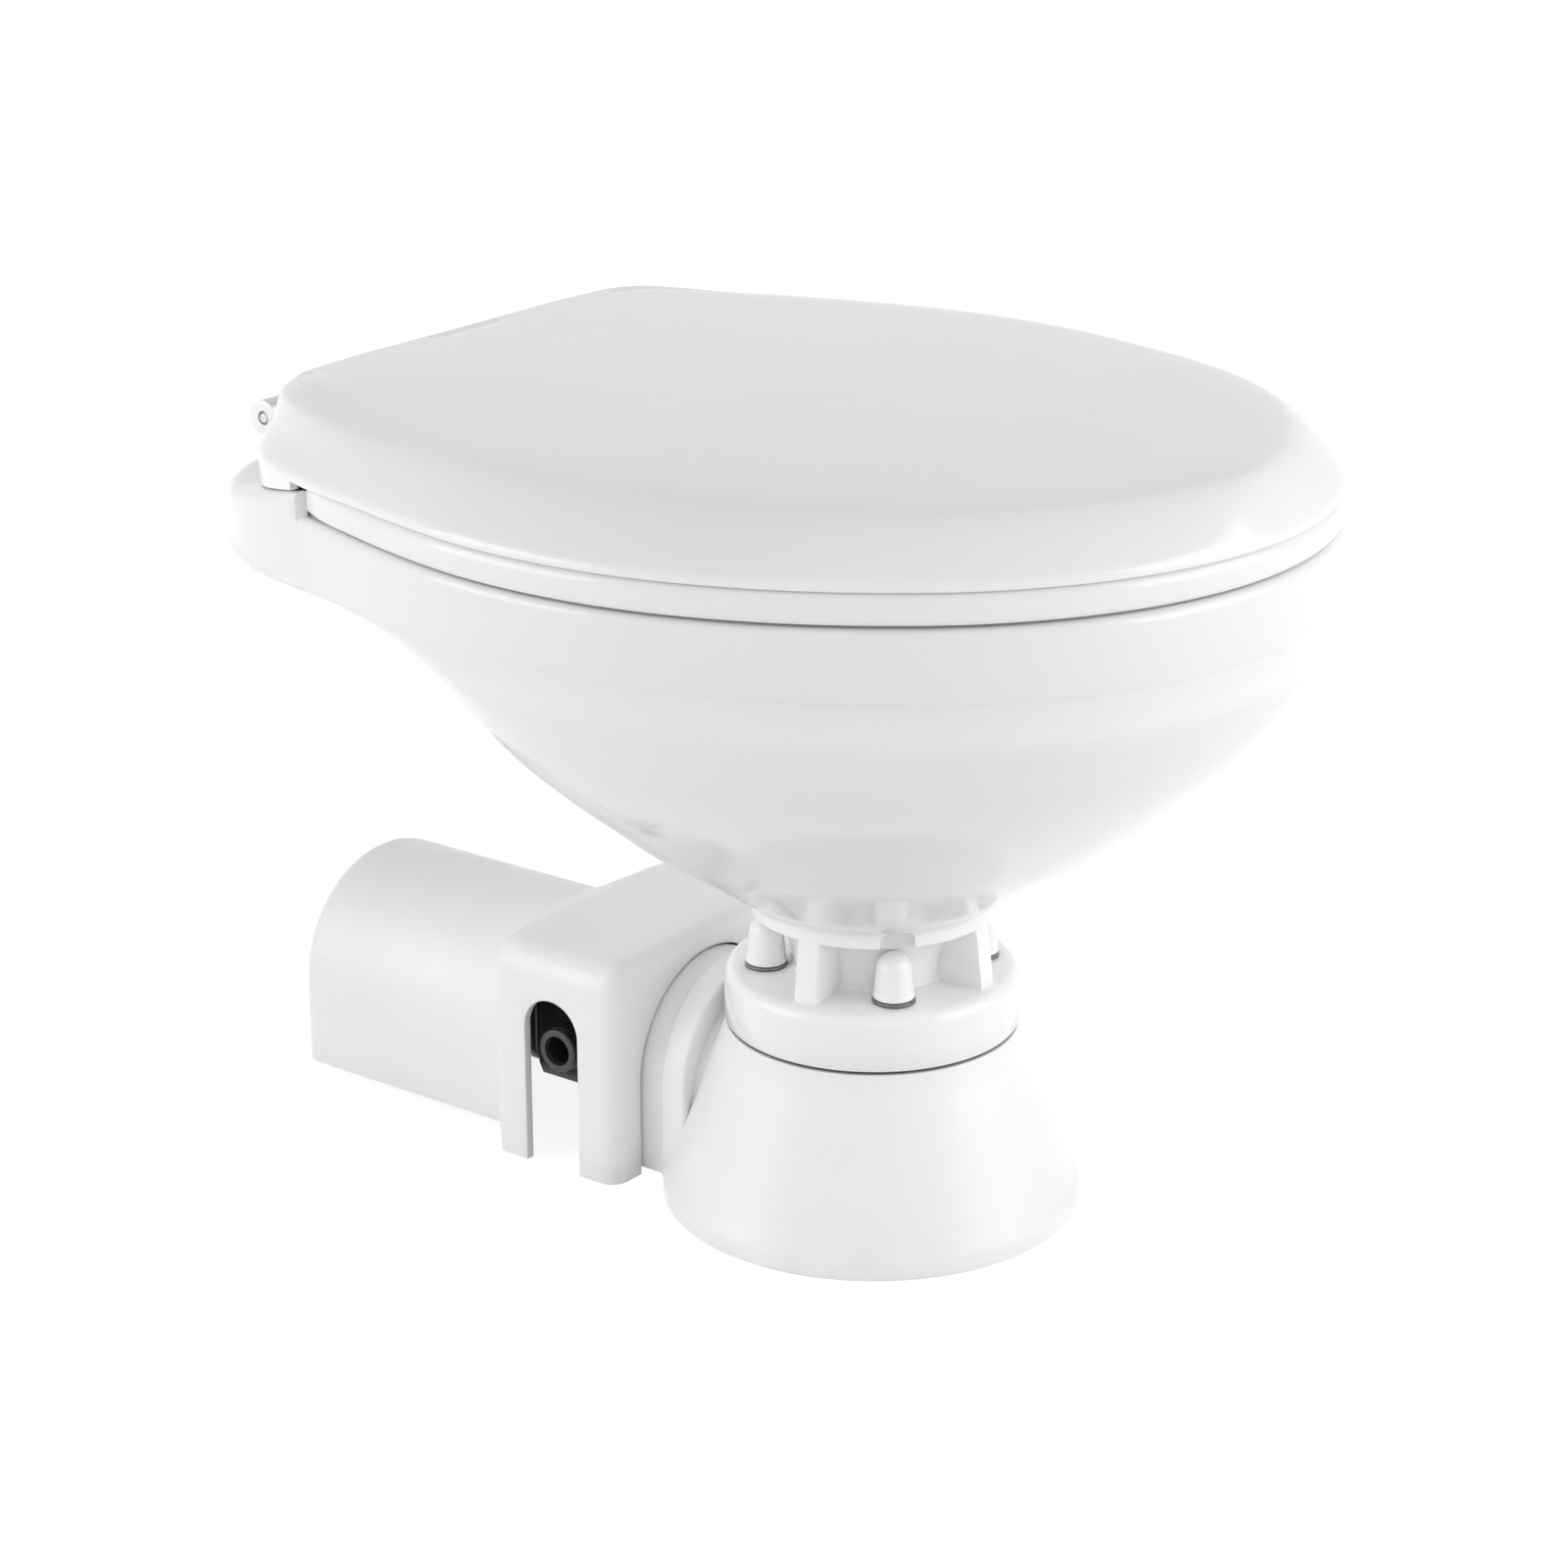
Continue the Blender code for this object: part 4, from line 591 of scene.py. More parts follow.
# Foot: its dished underside, its lip over the gasket and its rounded top edge
foot_rings = [foot_ring(OUTLET_RADIUS, FOOT_BOTTOM), foot_ring(0.040, FOOT_BOTTOM)]
foot_rings += [foot_ring(BASE_TOP_RADIUS - inset, FOOT_BOTTOM + rise) for inset, rise in (
    (0.0012, 0.0), (0.0010, -0.0010), (0.0005, -0.0011), (0.0, -0.0005), (0.0, 0.009))]
foot_rings += [foot_ring(*point)
               for point in corner(BASE_TOP_RADIUS - FOOT_EDGE, FOOT_TOP - FOOT_EDGE, FOOT_EDGE, 0, 72, 4)]
foot_rings.append(foot_ring(WEB_RADIUS + 0.0008, FOOT_TOP))

# Recesses between the webs, each closed above by a rounded vault
foot_rings += [recess(foot_ring(WEB_RADIUS + grow, FOOT_TOP + rise), strength) for grow, rise, strength in (
    (0.0003, 0.0004, 0.18), (0.0001, 0.0006, 0.60), (0.0, 0.0010, 0.93), (0.0, RECESS_FILLET, 1.0))]
VAULT_STEPS = 14
for step in range(1, VAULT_STEPS + 1):
    share = step / VAULT_STEPS
    level = FOOT_TOP + RECESS_FILLET + (RECESS_TOP - FOOT_TOP - RECESS_FILLET) * share
    reach = WEB_RADIUS + (NECK_RADIUS - WEB_RADIUS) * share
    foot_rings.append(recess(foot_ring(reach, level), (1 - share ** 3) ** 0.6))

# Body, rim and deck, the shoulders beside the hinge, and the basin inside
body_keys = [foot_ring(NECK_RADIUS, RECESS_TOP + 0.0010)] + [body_ring(row) for row in BODY_SHARES]
under_deck = body_keys[-1]
deck_foot = rim_ring(BAND_BOTTOM, 0.4)
body_keys += [under_deck + (deck_foot - under_deck) * 0.5, rim_ring(BAND_BOTTOM, 0.25, -0.10),
              rim_ring(BAND_BOTTOM, 0.0, -1.0)]
body_rings = flow_through(body_keys, 5)
rim_rings = [rim_ring(RIM_HEIGHT, 0.0, 1.6)]
rim_rings += [rim_ring(RIM_HEIGHT, *inside) for inside in rounding(1.0, range(0, 91, 15))]
shoulder_rings = [inner_edge(rim_rings[-1], inset, drop)
                  for inset, drop in ((0.0, 0.0), (0.0007, 0.0003), (0.0010, 0.0010), (0.0012, 0.02))]


def throat_ring(grow, drop):
    return oval_ring(*(size + grow for size in THROAT), RIM_HEIGHT - drop)


basin_rings = [throat_ring(2.2 * LIP_EDGE, 0.0)]
basin_rings += [throat_ring(*inside) for inside in rounding(LIP_EDGE, (90, 67, 45, 22, 0))]
basin_rings += [throat_ring(*inside) for inside in (
    (0.0, RIM_LIP), (0.0006, 0.0250), (0.0022, 0.0262), (0.0045, 0.0262))]
basin_rings += flow_through([body_ring(row) for row in BASIN_SHARES]
                            + [foot_ring(OUTLET_RADIUS + 0.006, NECK_TOP + 0.004),
                               foot_ring(OUTLET_RADIUS, NECK_TOP - 0.012)], 4)
bowl = loft("bowl", foot_rings + body_rings + rim_rings + shoulder_rings + basin_rings, loop=True)

# Flush inlet spud cast on at the back of the neck, and spotfaces for the hinge bolts under the deck
SPUD_HEIGHT = 0.139
SPUD_REAR = 0.082
SPUD_RADIUS = 0.015
SPUD_BORE = 0.0078
SPUD_DEPTH = 0.016
SPUD_EDGE = 0.004
HINGE_X = 0.075
HINGE_Y = 0.23151
HINGE_Z = 0.314
SPOTFACE_TOP = 0.269
SPOTFACE_RADIUS = 0.0085
HINGE_BOLT_HOLE = 0.0028
BOLT_HOLE = 0.0036
spud_rings = [(0.022, 0.030), (0.0205, 0.050), (0.0170, 0.0565), (0.0155, 0.062), (SPUD_RADIUS, 0.068),
              (SPUD_RADIUS, SPUD_REAR - SPUD_EDGE)]
spud_rings += corner(SPUD_RADIUS - SPUD_EDGE, SPUD_REAR - SPUD_EDGE, SPUD_EDGE, 20, 90, 4)
socket_rings = [(SPUD_BORE, SPUD_REAR - SPUD_DEPTH), (SPUD_BORE, SPUD_REAR - 0.0015),
                (SPUD_BORE + 0.0010, SPUD_REAR - 0.0004), (SPUD_BORE + 0.0018, SPUD_REAR + 0.003)]
combine(bowl, draw_rings(spud_rings, 72, (0, 0, SPUD_HEIGHT), lying), "UNION")
combine(bowl, draw_rings(socket_rings, 64, (0, 0, SPUD_HEIGHT), lying), "DIFFERENCE")
for side in (-1, 1):
    spot = (side * HINGE_X, HINGE_Y, 0)
    combine(bowl, rod(SPOTFACE_RADIUS, BAND_BOTTOM - RIM_BAND, SPOTFACE_TOP, 48, spot), "DIFFERENCE")
    combine(bowl, rod(HINGE_BOLT_HOLE, BAND_BOTTOM - RIM_BAND, RIM_HEIGHT + OVERRUN, 32, spot), "DIFFERENCE")

# Over each hold-down bolt an arched notch runs up into the neck, so that its cap can be drawn off
NOTCH_RADIUS = 0.0075
NOTCH_FOOT = FOOT_TOP + 0.0020
NOTCH_TOP = FOOT_TOP + 0.036
NOTCH_SHIFT = 1.09
notch_rings = [(NOTCH_RADIUS, NOTCH_FOOT)]
notch_rings += [(NOTCH_RADIUS - inset, NOTCH_TOP - drop)
                for inset, drop in rounding(NOTCH_RADIUS, range(0, 86, 9))]
for spot in BOLTS.values():
    notch_spot = (spot[0] * NOTCH_SHIFT, spot[1] * NOTCH_SHIFT, 0.0)
    combine(bowl, draw_rings(notch_rings, 48, notch_spot), "DIFFERENCE")
    combine(bowl, rod(BOLT_HOLE, FOOT_BOTTOM - OVERRUN, FOOT_TOP + OVERRUN, 32, spot), "DIFFERENCE")
bowl.data.transform(Matrix.Translation((0, PEDESTAL_Y, 0)))

GLAZE_WHITE = (0.86, 0.863, 0.865)
GLAZE_SHADE = (0.840, 0.848, 0.850)
china = Finish("china_glaze", 0.16, coat_weight=0.3, coat_roughness=0.08)
cloud = china.noise(5.0, 2.0)
ripple = china.noise(46.0, 3.0)
pin = china.node("TexVoronoi", {}, {"Vector": china.place, "Scale": 900.0}, "Distance")
china.feed("Base Color", china.tint(china.step(cloud, 0.35, 0.7), GLAZE_WHITE, GLAZE_SHADE))
china.feed("Roughness", china.step(ripple, 0.3, 0.75, 0.13, 0.21))
waviness = china.bump(ripple, 0.00012, china.bump(cloud, 0.0010))
china.feed("Normal", china.bump(china.step(pin, 0.0, 0.16), 0.00001, waviness))
settle(bowl, "china_bowl", china, 40.0)
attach(bowl, "pedestal")
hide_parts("bowl")

# ----------------------------------------------------------------------------------- bowl gasket
# A flat ring of black rubber sheet, nipped between base and foot so that its edge shows as a line.


def rubber(name, scale, patch, colour, worn, dullness, grain, depth):
    """Moulded rubber: paler, duller scuffs and a fine grain."""
    made = Finish(name, dullness[0])
    scuff = made.noise(scale, 4.0)
    made.feed("Base Color", made.tint(made.step(scuff, *patch), colour, worn))
    made.feed("Roughness", made.step(scuff, 0.3, 0.7, *dullness))
    made.feed("Normal", made.bump(made.noise(grain, 2.0), depth))
    return made


black_rubber = rubber("rubber_black_finish", 220.0, (0.4, 0.75), (0.018, 0.018, 0.019), (0.045, 0.044, 0.043),
                      (0.66, 0.88), 1500.0, 0.00005)

GASKET_LOW = BASE_HEIGHT + CLEARANCE
GASKET_EDGE = 0.0596
gasket = draw_rings([(GASKET_EDGE - inset, GASKET_LOW + rise) for inset, rise in (
    (0.0011, 0.0), (0.0003, 0.0003), (0.0, 0.0008), (0.0003, 0.0012), (0.0011, 0.0014))])
combine(gasket, rod(OUTLET_RADIUS + CLEARANCE, BASE_HEIGHT - OVERRUN, FOOT_TOP, 72), "DIFFERENCE")
for spot in BOLTS.values():
    combine(gasket, rod(BOSS_HOLE, BASE_HEIGHT - OVERRUN, FOOT_TOP, 24, spot), "DIFFERENCE")
gasket.data.transform(Matrix.Translation((0, PEDESTAL_Y, 0)))
settle(gasket, "foot_gasket", black_rubber)
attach(gasket, "pedestal")
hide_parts("bowl_gasket")

# ------------------------------------------------------------------------- hold-down bolts' caps
# Each bolt is covered by a white moulded cap with a domed top. Under its head lies a stainless washer
# with a groove turned round its rim.


def copies(master, name_of, spots, body, node_of):
    """Copies a finished piece to its places, each copy with its own mesh, and removes the master."""
    for tag, offset in spots:
        piece = master.copy()
        piece.data = master.data.copy()
        bpy.context.scene.collection.objects.link(piece)
        piece.data.transform(Matrix.Translation(offset))
        piece.name = name_of + tag
        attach(piece, body)
        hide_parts(node_of + tag)
    bpy.data.objects.remove(master)


def steel(name, colour, roughness, lines):
    """Stainless: fine scratches that run round the piece or along it, and a few dull patches."""
    made = Finish(name, roughness, metallic=1.0)
    scratch = made.noise(1.0, 4.0, made.stretched(lines))
    dull = made.noise(90.0, 3.0)
    made.feed("Base Color", made.tint(made.step(dull, 0.42, 0.7), colour, darker(colour, 0.14)))
    made.feed("Roughness", made.step(scratch, 0.3, 0.7, roughness - 0.06, roughness + 0.12)
              + made.step(dull, 0.5, 0.8) * 0.08)
    made.feed("Normal", made.bump(scratch, 0.00002))
    return made


# The washers' base colour is set far darker than the other stainless: painted shade, for the shadow that falls on
# them under the caps.
washer_steel_painted_shade = steel("washer_steel_finish", (0.34, 0.34, 0.35), 0.30, (900.0, 900.0, 5200.0))
stainless = steel("stainless_finish", (0.62, 0.61, 0.59), 0.24, (900.0, 900.0, 5200.0))
cap_white = white_moulding("cap_white_finish", (0.87, 0.87, 0.865), 0.24, 1800.0, 0.00002, 0.0, 0.15)

WASHER_LOW = 0.1023
HEAD_LOW = 0.1042
WASHER_WIDTH = 0.0054
WASHER_RADIUS = 0.0088
WASHER_THICKNESS = 0.0016
bolt_spots = [(tag, (x, PEDESTAL_Y + y, z)) for tag, (x, y, z) in BOLTS.items()]

# The washer's section is drawn from its bore back to its bore, and the two discs that close it are removed
washer = draw_rings([(WASHER_RADIUS - inset, WASHER_LOW + rise) for inset, rise in (
    (WASHER_WIDTH, WASHER_THICKNESS), (WASHER_WIDTH, 0.0), (0.0004, 0.0), (0.0, 0.0003), (0.0, 0.0006),
    (0.0009, 0.0008), (0.0, 0.0010), (0.0, 0.0013), (0.0004, WASHER_THICKNESS),
    (WASHER_WIDTH, WASHER_THICKNESS))], 64)
work = bmesh.new()
work.from_mesh(washer.data)
bmesh.ops.delete(work, geom=[face for face in work.faces if len(face.verts) > 4], context="FACES_ONLY")
work.to_mesh(washer.data)
work.free()
face_outwards(washer, 0.00001)
settle(washer, "bolt_washer_", washer_steel_painted_shade)
copies(washer, "bolt_washer_", bolt_spots, "pedestal", "washer_")

CAP_RADIUS = 0.0083
CAP_HEIGHT = 0.019
CAP_WALL = 0.0018
CAP_TAPER = 0.0012
CAP_DOME = 0.0074
cap_rings = [(CAP_RADIUS - inset, HEAD_LOW + rise) for inset, rise in (
    (CAP_WALL, CAP_HEIGHT - CAP_RADIUS), (CAP_WALL, 0.0003), (0.0014, 0.0), (0.0004, 0.0), (0.0, 0.0004),
    (0.0, 0.0014), (0.0003, 0.0019), (0.0004, 0.003))]
cap_rings += [((CAP_RADIUS - CAP_TAPER) * (1 - inset), HEAD_LOW + CAP_HEIGHT - CAP_DOME * drop)
              for inset, drop in rounding(1.0, range(0, 86, 7))]
cap = draw_rings(cap_rings, 72)
settle(cap, "bolt_cap_", cap_white)
copies(cap, "bolt_cap_", bolt_spots, "pedestal", "cap_")

# ------------------------------------------------------------------------------------------ seat
# The seat is a ring of glossy white moulded plastic, crowned on top and rounded at both edges, with
# an arm and barrel at each hinge. It rests on four grey rubber bumpers pressed into its underside.

SEAT_LOW = 0.2994
SEAT_HIGH = 0.3114
EDGE_ROUND = 0.0036
HOLE = (0.112, 0.128, -0.004)  # half width, half length and where its middle lies
LUG_WIDTH = 0.0155
LUG_RADIUS = 0.0073
LUG_REACH = 0.030
LUG_GAP = 0.0093
PIN_RADIUS = 0.0025
BUMPER_STEM = 0.0040
SEAT_RELIEF = 0.0024
RELIEF_ANGLE = SHOULDER_ANGLE - 0.6
RING_ANGLES = [360.0 * i / 240 for i in range(240)]
SEAT_ANGLES = with_steps(RING_ANGLES, RELIEF_ANGLE)


def hole_ring(grow, height):
    half, length, middle = HOLE
    turns = [math.radians(angle) for angle in SEAT_ANGLES]
    return np.array([((half + grow) * math.sin(turn), middle - (length + grow) * math.cos(turn), height)
                     for turn in turns])


def seat_ring(height, inset=0.0):
    """Outer ring of the seat, which is cut back between the bowl's shoulders."""
    ring = []
    for angle in SEAT_ANGLES:
        relief = SEAT_RELIEF if from_front(angle) > RELIEF_ANGLE else 0.0
        ring.append(outline_point(share_at(SEAT_SHARES, angle) * HALF_WIDTH - inset - relief, angle, height))
    return np.array(ring)


seat_rings = [seat_ring(SEAT_LOW + rise, inset) for rise, inset in (
    (0.0, 0.0030), (0.0003, 0.0012), (0.0012, 0.0003), (0.0026, 0.0), (0.0070, 0.0))]
seat_rings += [seat_ring(SEAT_HIGH - drop, inset) for inset, drop in rounding(EDGE_ROUND, (0, 22, 45, 67, 90))]
outer, inner = seat_rings[-1], hole_ring(0.012, SEAT_HIGH - 0.0004)
seat_rings += [outer + (inner - outer) * share for share in (0.3, 0.6, 1.0)]
seat_rings += [hole_ring(grow, SEAT_HIGH - drop) for grow, drop in (
    (0.0072, 0.0013), (0.0036, 0.0030), (0.0014, 0.0048), (0.0002, 0.0068), (0.0, 0.0090), (0.0010, 0.0112),
    (0.0028, 0.0120))]
seat = loft("seat_ring_piece", seat_rings, loop=True)
ARM = ((0.000, -0.0044), (0.0, 0.0058), (-0.0058, 0.0044), (-LUG_REACH, SEAT_HIGH - 0.0012 - HINGE_Z),
       (-1.3 * LUG_REACH, SEAT_HIGH - 0.0030 - HINGE_Z), (-1.3 * LUG_REACH, SEAT_LOW + 0.003 - HINGE_Z),
       (-0.5 * LUG_REACH, SEAT_LOW + 0.003 - HINGE_Z))
upright = (0.0, math.radians(90), 0.0)
BARREL = [(LUG_RADIUS - 0.0008, 0.0), (LUG_RADIUS - 0.0002, 0.0002), (LUG_RADIUS, 0.0008),
          (LUG_RADIUS, LUG_WIDTH - 0.0008), (LUG_RADIUS - 0.0002, LUG_WIDTH - 0.0002),
          (LUG_RADIUS - 0.0008, LUG_WIDTH)]
PIN_HOLE = PIN_RADIUS + 0.0004


def add_lug(piece, outline, one_end, other_end):
    """Puts an arm, its (y, z) outline about the hinge's line, and a barrel bored for the pin on a piece."""
    near = min(one_end, other_end)
    spot = (near, HINGE_Y, HINGE_Z)
    arm = loft("arm", [np.array([(x, HINGE_Y + y, HINGE_Z + z) for y, z in outline])
                       for x in (near + 0.0003, near + LUG_WIDTH - 0.0003)])
    combine(piece, soften(arm, 0.0012, 3), "UNION")
    combine(piece, draw_rings(BARREL, 64, spot, upright), "UNION")
    combine(piece, rod(PIN_HOLE, -0.006, LUG_WIDTH + 0.006, 32, spot, upright), "DIFFERENCE")


for side in (-1, 1):
    add_lug(seat, ARM, side * (HINGE_X - LUG_GAP - LUG_WIDTH), side * (HINGE_X - LUG_GAP))
BUMPERS = (("fl", -0.818, -0.214), ("fr", 0.818, -0.214), ("rl", -0.727, 0.642), ("rr", 0.727, 0.642))
for tag, x_share, y_share in BUMPERS:
    combine(seat, rod(BUMPER_STEM + CLEARANCE, SEAT_LOW - 0.004, SEAT_LOW + 0.0043, 32,
                      (x_share * HALF_WIDTH, y_share * HALF_WIDTH, 0)), "DIFFERENCE")
seat.data.transform(Matrix.Translation((0, PEDESTAL_Y, 0)))

SEAT_WHITE = (0.875, 0.88, 0.89)
# The lid's white is paler than the seat's, though both are the same plastic: painted light, raised so that the
# lid's sides read brighter.
LID_WHITE_PAINTED_LIGHT = (0.905, 0.91, 0.92)


def glossy_white(name, colour, roughness):
    """Compression-moulded seat plastic under gloss: soft flow marks, light ripple and a few fine rubs."""
    made = Finish(name, roughness, coat_weight=0.35, coat_roughness=0.06)
    flow = made.noise(6.0, 2.0, made.stretched((1.0, 1.7, 1.0)))
    ripple = made.noise(60.0, 3.0)
    rub = made.noise(1.0, 3.0, made.stretched((40.0, 900.0, 900.0)))
    made.feed("Base Color", made.tint(made.step(flow, 0.36, 0.7), colour,
                                      (colour[0] * 0.972, colour[1] * 0.978, colour[2] * 0.990)))
    made.feed("Roughness", made.step(ripple, 0.3, 0.7, roughness - 0.03, roughness + 0.04)
              + made.step(rub, 0.62, 0.8) * 0.05)
    made.feed("Normal", made.bump(made.noise(1400.0, 2.0), 0.000006, made.bump(ripple, 0.00005)))
    return made


seat_white = glossy_white("seat_white_finish", SEAT_WHITE, 0.17)
lid_white_painted_light = glossy_white("lid_white_finish", LID_WHITE_PAINTED_LIGHT, 0.17)
settle(seat, "seat_moulding", seat_white, 35.0)
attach(seat, "seat_ring")
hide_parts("seat")

grey_rubber = rubber("rubber_grey_finish", 150.0, (0.38, 0.72), (0.27, 0.27, 0.275), (0.36, 0.36, 0.355),
                     (0.62, 0.82), 1100.0, 0.00004)
BUMPER_RADIUS = 0.0080
bumper = draw_rings([(0.0060, 0.2983), (0.0074, 0.2985), (BUMPER_RADIUS, 0.2988), (0.0078, 0.2991),
                     (BUMPER_STEM, 0.2991), (BUMPER_STEM, SEAT_LOW + 0.0040)], 48)
settle(bumper, "seat_bumper_piece_", grey_rubber)
bumper_spots = [(tag, (x * HALF_WIDTH, PEDESTAL_Y + y * HALF_WIDTH, 0.0)) for tag, x, y in BUMPERS]
copies(bumper, "seat_bumper_piece_", bumper_spots, "seat_ring", "seat_bumper_")

# ------------------------------------------------------------------------------------------- lid
# The lid is a thin glossy white shell with a rolled edge and a shallow dome. Its skirt is deeper
# behind the seat, is cut out round the seat's arms, and carries two barrels on the hinge pins.

LID_LOW = 0.3117
SKIRT_LOW = 0.3001
SKIRT_START = 0.16171
LID_SIDE_HEIGHT = 0.0235
LID_WALL = 0.0034
LID_DOME = 0.0022
SKIRT_GAP = 0.0009
NOTCH_ROOM = 0.0012
LID_SHARES = (1.088, 1.084, 1.073, 1.057, 1.039, 1.020, 1.009, 1.004, 1.004, 1.0062,
              1.0133, 1.026, 1.058, 1.128, 1.198, 1.205, 1.138, 1.096, 1.080)
CROWN_SHARES = (0.999, 0.978, 0.954, 0.933, 0.911, 0.883, 0.854, 0.836, 0.836, 0.847,
                0.865, 0.889, 0.925, 0.972, 1.040, 1.155, 1.107, 1.059, 1.042)
# Rise of the lid's side: height share, then how far it has come in from edge to crown, in front and behind
LID_SIDE = ((0.00, 0.02, 0.02), (0.16, 0.055, 0.05), (0.45, 0.34, 0.31), (0.71, 0.64, 0.48), (0.87, 0.88, 0.63),
            (0.955, 1.09, 0.98), (1.00, 1.46, 1.18))
SIDE_BLEND = (115.0, 30.0)


def skirt_edge(angle):
    """How far behind the start of the deeper skirt the lid's lower edge lies."""
    return outline_point(share_at(LID_SHARES, angle) * HALF_WIDTH, angle, 0.0)[1] - SKIRT_START


low_angle, high_angle = 90.0, 180.0
for _ in range(40):
    middle_angle = (low_angle + high_angle) / 2
    if skirt_edge(middle_angle) < 0:
        low_angle = middle_angle
    else:
        high_angle = middle_angle
LID_ANGLES = with_steps(RING_ANGLES, low_angle)


def lid_ring(front_share, rear_share, height, scale=1.0):
    ring = []
    for angle in LID_ANGLES:
        low, high = share_at(LID_SHARES, angle), share_at(CROWN_SHARES, angle)
        behind = smooth_step((from_front(angle) - SIDE_BLEND[0]) / SIDE_BLEND[1])
        share = front_share + (rear_share - front_share) * behind
        ring.append(outline_point((low + (high - low) * share) * HALF_WIDTH * scale, angle, height))
    return np.array(ring)


lid_foot = lid_ring(0.03, 0.03, LID_LOW)
for row, angle in zip(lid_foot, LID_ANGLES):
    if skirt_edge(angle) > 0:
        row[2] = max(SKIRT_LOW, RIM_HEIGHT + shoulder(angle, row[1]) + SKIRT_GAP)
lid_keys = [lid_ring(front_share, rear_share, LID_LOW + level * LID_SIDE_HEIGHT)
            for level, front_share, rear_share in LID_SIDE]
lid_keys[0][:, 2] += 0.0009
lid_rings = [lid_foot] + flow_through(lid_keys, 4)
crown_low = LID_LOW + LID_SIDE_HEIGHT
level, front_share, rear_share = LID_SIDE[-1]
DOME_STEPS = 16
for i in range(1, DOME_STEPS):
    scale = 1.0 - i / DOME_STEPS
    lid_rings.append(lid_ring(front_share, rear_share, crown_low + LID_DOME * (1 - scale ** 2.2), scale))
lid_rings.append(lid_ring(front_share, rear_share, crown_low + LID_DOME, 0.02))


def thicken(piece, thickness):
    """Gives a skin its wall, inwards from its outer face."""
    take(piece)
    wall = piece.modifiers.new("wall", "SOLIDIFY")
    wall.thickness = thickness
    wall.offset = -1.0
    wall.use_even_offset = True
    bpy.ops.object.modifier_apply(modifier=wall.name)
    return piece


def box_between(low, high):
    clear_selection()
    bpy.ops.mesh.primitive_cube_add(size=1.0, location=(Vector(low) + Vector(high)) / 2)
    made = bpy.context.object
    made.scale = Vector(high) - Vector(low)
    bpy.ops.object.transform_apply(location=True, rotation=True, scale=True)
    return made


lid = thicken(loft("lid", lid_rings, caps=(False, True)), LID_WALL)
LID_ARM = ((0.0, -0.0058), (0.0, 0.0058), (-0.5 * LUG_REACH, 0.0058), (-0.5 * LUG_REACH, -0.0058))
NOTCH_LOW, NOTCH_HIGH = 0.2925, 0.3225
for side in (-1, 1):
    add_lug(lid, LID_ARM, side * (HINGE_X + LUG_GAP), side * (HINGE_X + LUG_GAP + LUG_WIDTH))
    middle = side * (HINGE_X - LUG_GAP - LUG_WIDTH / 2)
    notch = box_between((middle - LUG_WIDTH / 2 - NOTCH_ROOM, HINGE_Y - 1.2 * LUG_REACH, NOTCH_LOW),
                        (middle + LUG_WIDTH / 2 + NOTCH_ROOM, HINGE_Y + 0.030, NOTCH_HIGH))
    soften(notch, 0.002, 3)
    combine(lid, notch, "DIFFERENCE")
lid.data.transform(Matrix.Translation((0, PEDESTAL_Y, 0)))
settle(lid, "lid_moulding", lid_white_painted_light, 35.0)
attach(lid, "lid_shell")
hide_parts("lid")

# ---------------------------------------------------------------------------------------- hinges
# Two white moulded posts stand on the deck, each held from below by a stainless bolt and washer. A
# stainless pin runs through the post, the seat's barrel and the lid's.

POST_WIDTH = 0.018
POST_DEPTH = 0.0145
POST_HOLE_DEPTH = 0.0106
for tag, side in (("l", -1), ("r", 1)):
    start = side * HINGE_X - POST_WIDTH / 2
    post = arched_block(POST_DEPTH / 2, HINGE_Z + POST_DEPTH / 2, RIM_HEIGHT + CLEARANCE,
                        start, start + POST_WIDTH, 48, HINGE_Y, "Y")
    soften(post, 0.0010, 3)
    combine(post, rod(PIN_RADIUS + CLEARANCE, -0.006, POST_WIDTH + 0.006, 32, (start, HINGE_Y, HINGE_Z), upright),
            "DIFFERENCE")
    combine(post, rod(HINGE_BOLT_HOLE, RIM_HEIGHT - 0.006, RIM_HEIGHT + POST_HOLE_DEPTH, 24,
                      (side * HINGE_X, HINGE_Y, 0)), "DIFFERENCE")
    post.data.transform(Matrix.Translation((0, PEDESTAL_Y, 0)))
    settle(post, "hinge_post_piece_" + tag, moulding, 35.0)
    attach(post, "pedestal")
    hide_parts("hinge_post_" + tag)

# ----------------------------------------------------------------------------------------- cover
# The cover is one satin white moulding, open below: a box over the pump, with a slot for the
# discharge hose in its left side, that runs into a round tunnel over the motor.

BOX = (0.064, 0.096, 0.012)  # half width, height and radius of the shoulders
TUNNEL = (0.052, 0.094, 0.0517)
COVER_FRONT = 0.0845
COVER_BOX_REAR = 0.1474
COVER_REAR = 0.272
COVER_EDGE = 0.008
COVER_WALL = 0.004
TUNNEL_LIFT = 0.006
SLOT_Y = 0.118
SLOT_HALF_WIDTH = 0.0143
SLOT_TOP = 0.0757
SLOT_CUT = (-0.075, -0.032)


def cover_row(half_width, height, radius, place, inset=0.0, steps=22):
    """Section across the cover: up one side, round both shoulders and down the other side."""
    half, top, bend = half_width - inset, height - inset, max(radius - inset, 0.004)
    shoulder = []
    for i in range(steps + 1):
        turn = math.pi / 2 * i / steps
        shoulder.append((half - bend + bend * math.cos(turn), place, top - bend + bend * math.sin(turn)))
    rise = [(half, place, (top - bend) * share) for share in (0.0, 0.12, 0.4, 0.7, 0.9)]
    across = [(half - bend - 2 * (half - bend) * share, place, top) for share in (0.1, 0.3, 0.5, 0.7, 0.9)]
    other = [(-x, y, z) for x, y, z in reversed(shoulder)]
    fall = [(-x, y, z) for x, y, z in reversed(rise)]
    return np.array(rise + shoulder + across + other + fall)


def mixed(share):
    return tuple(a + (b - a) * share for a, b in zip(BOX, TUNNEL))


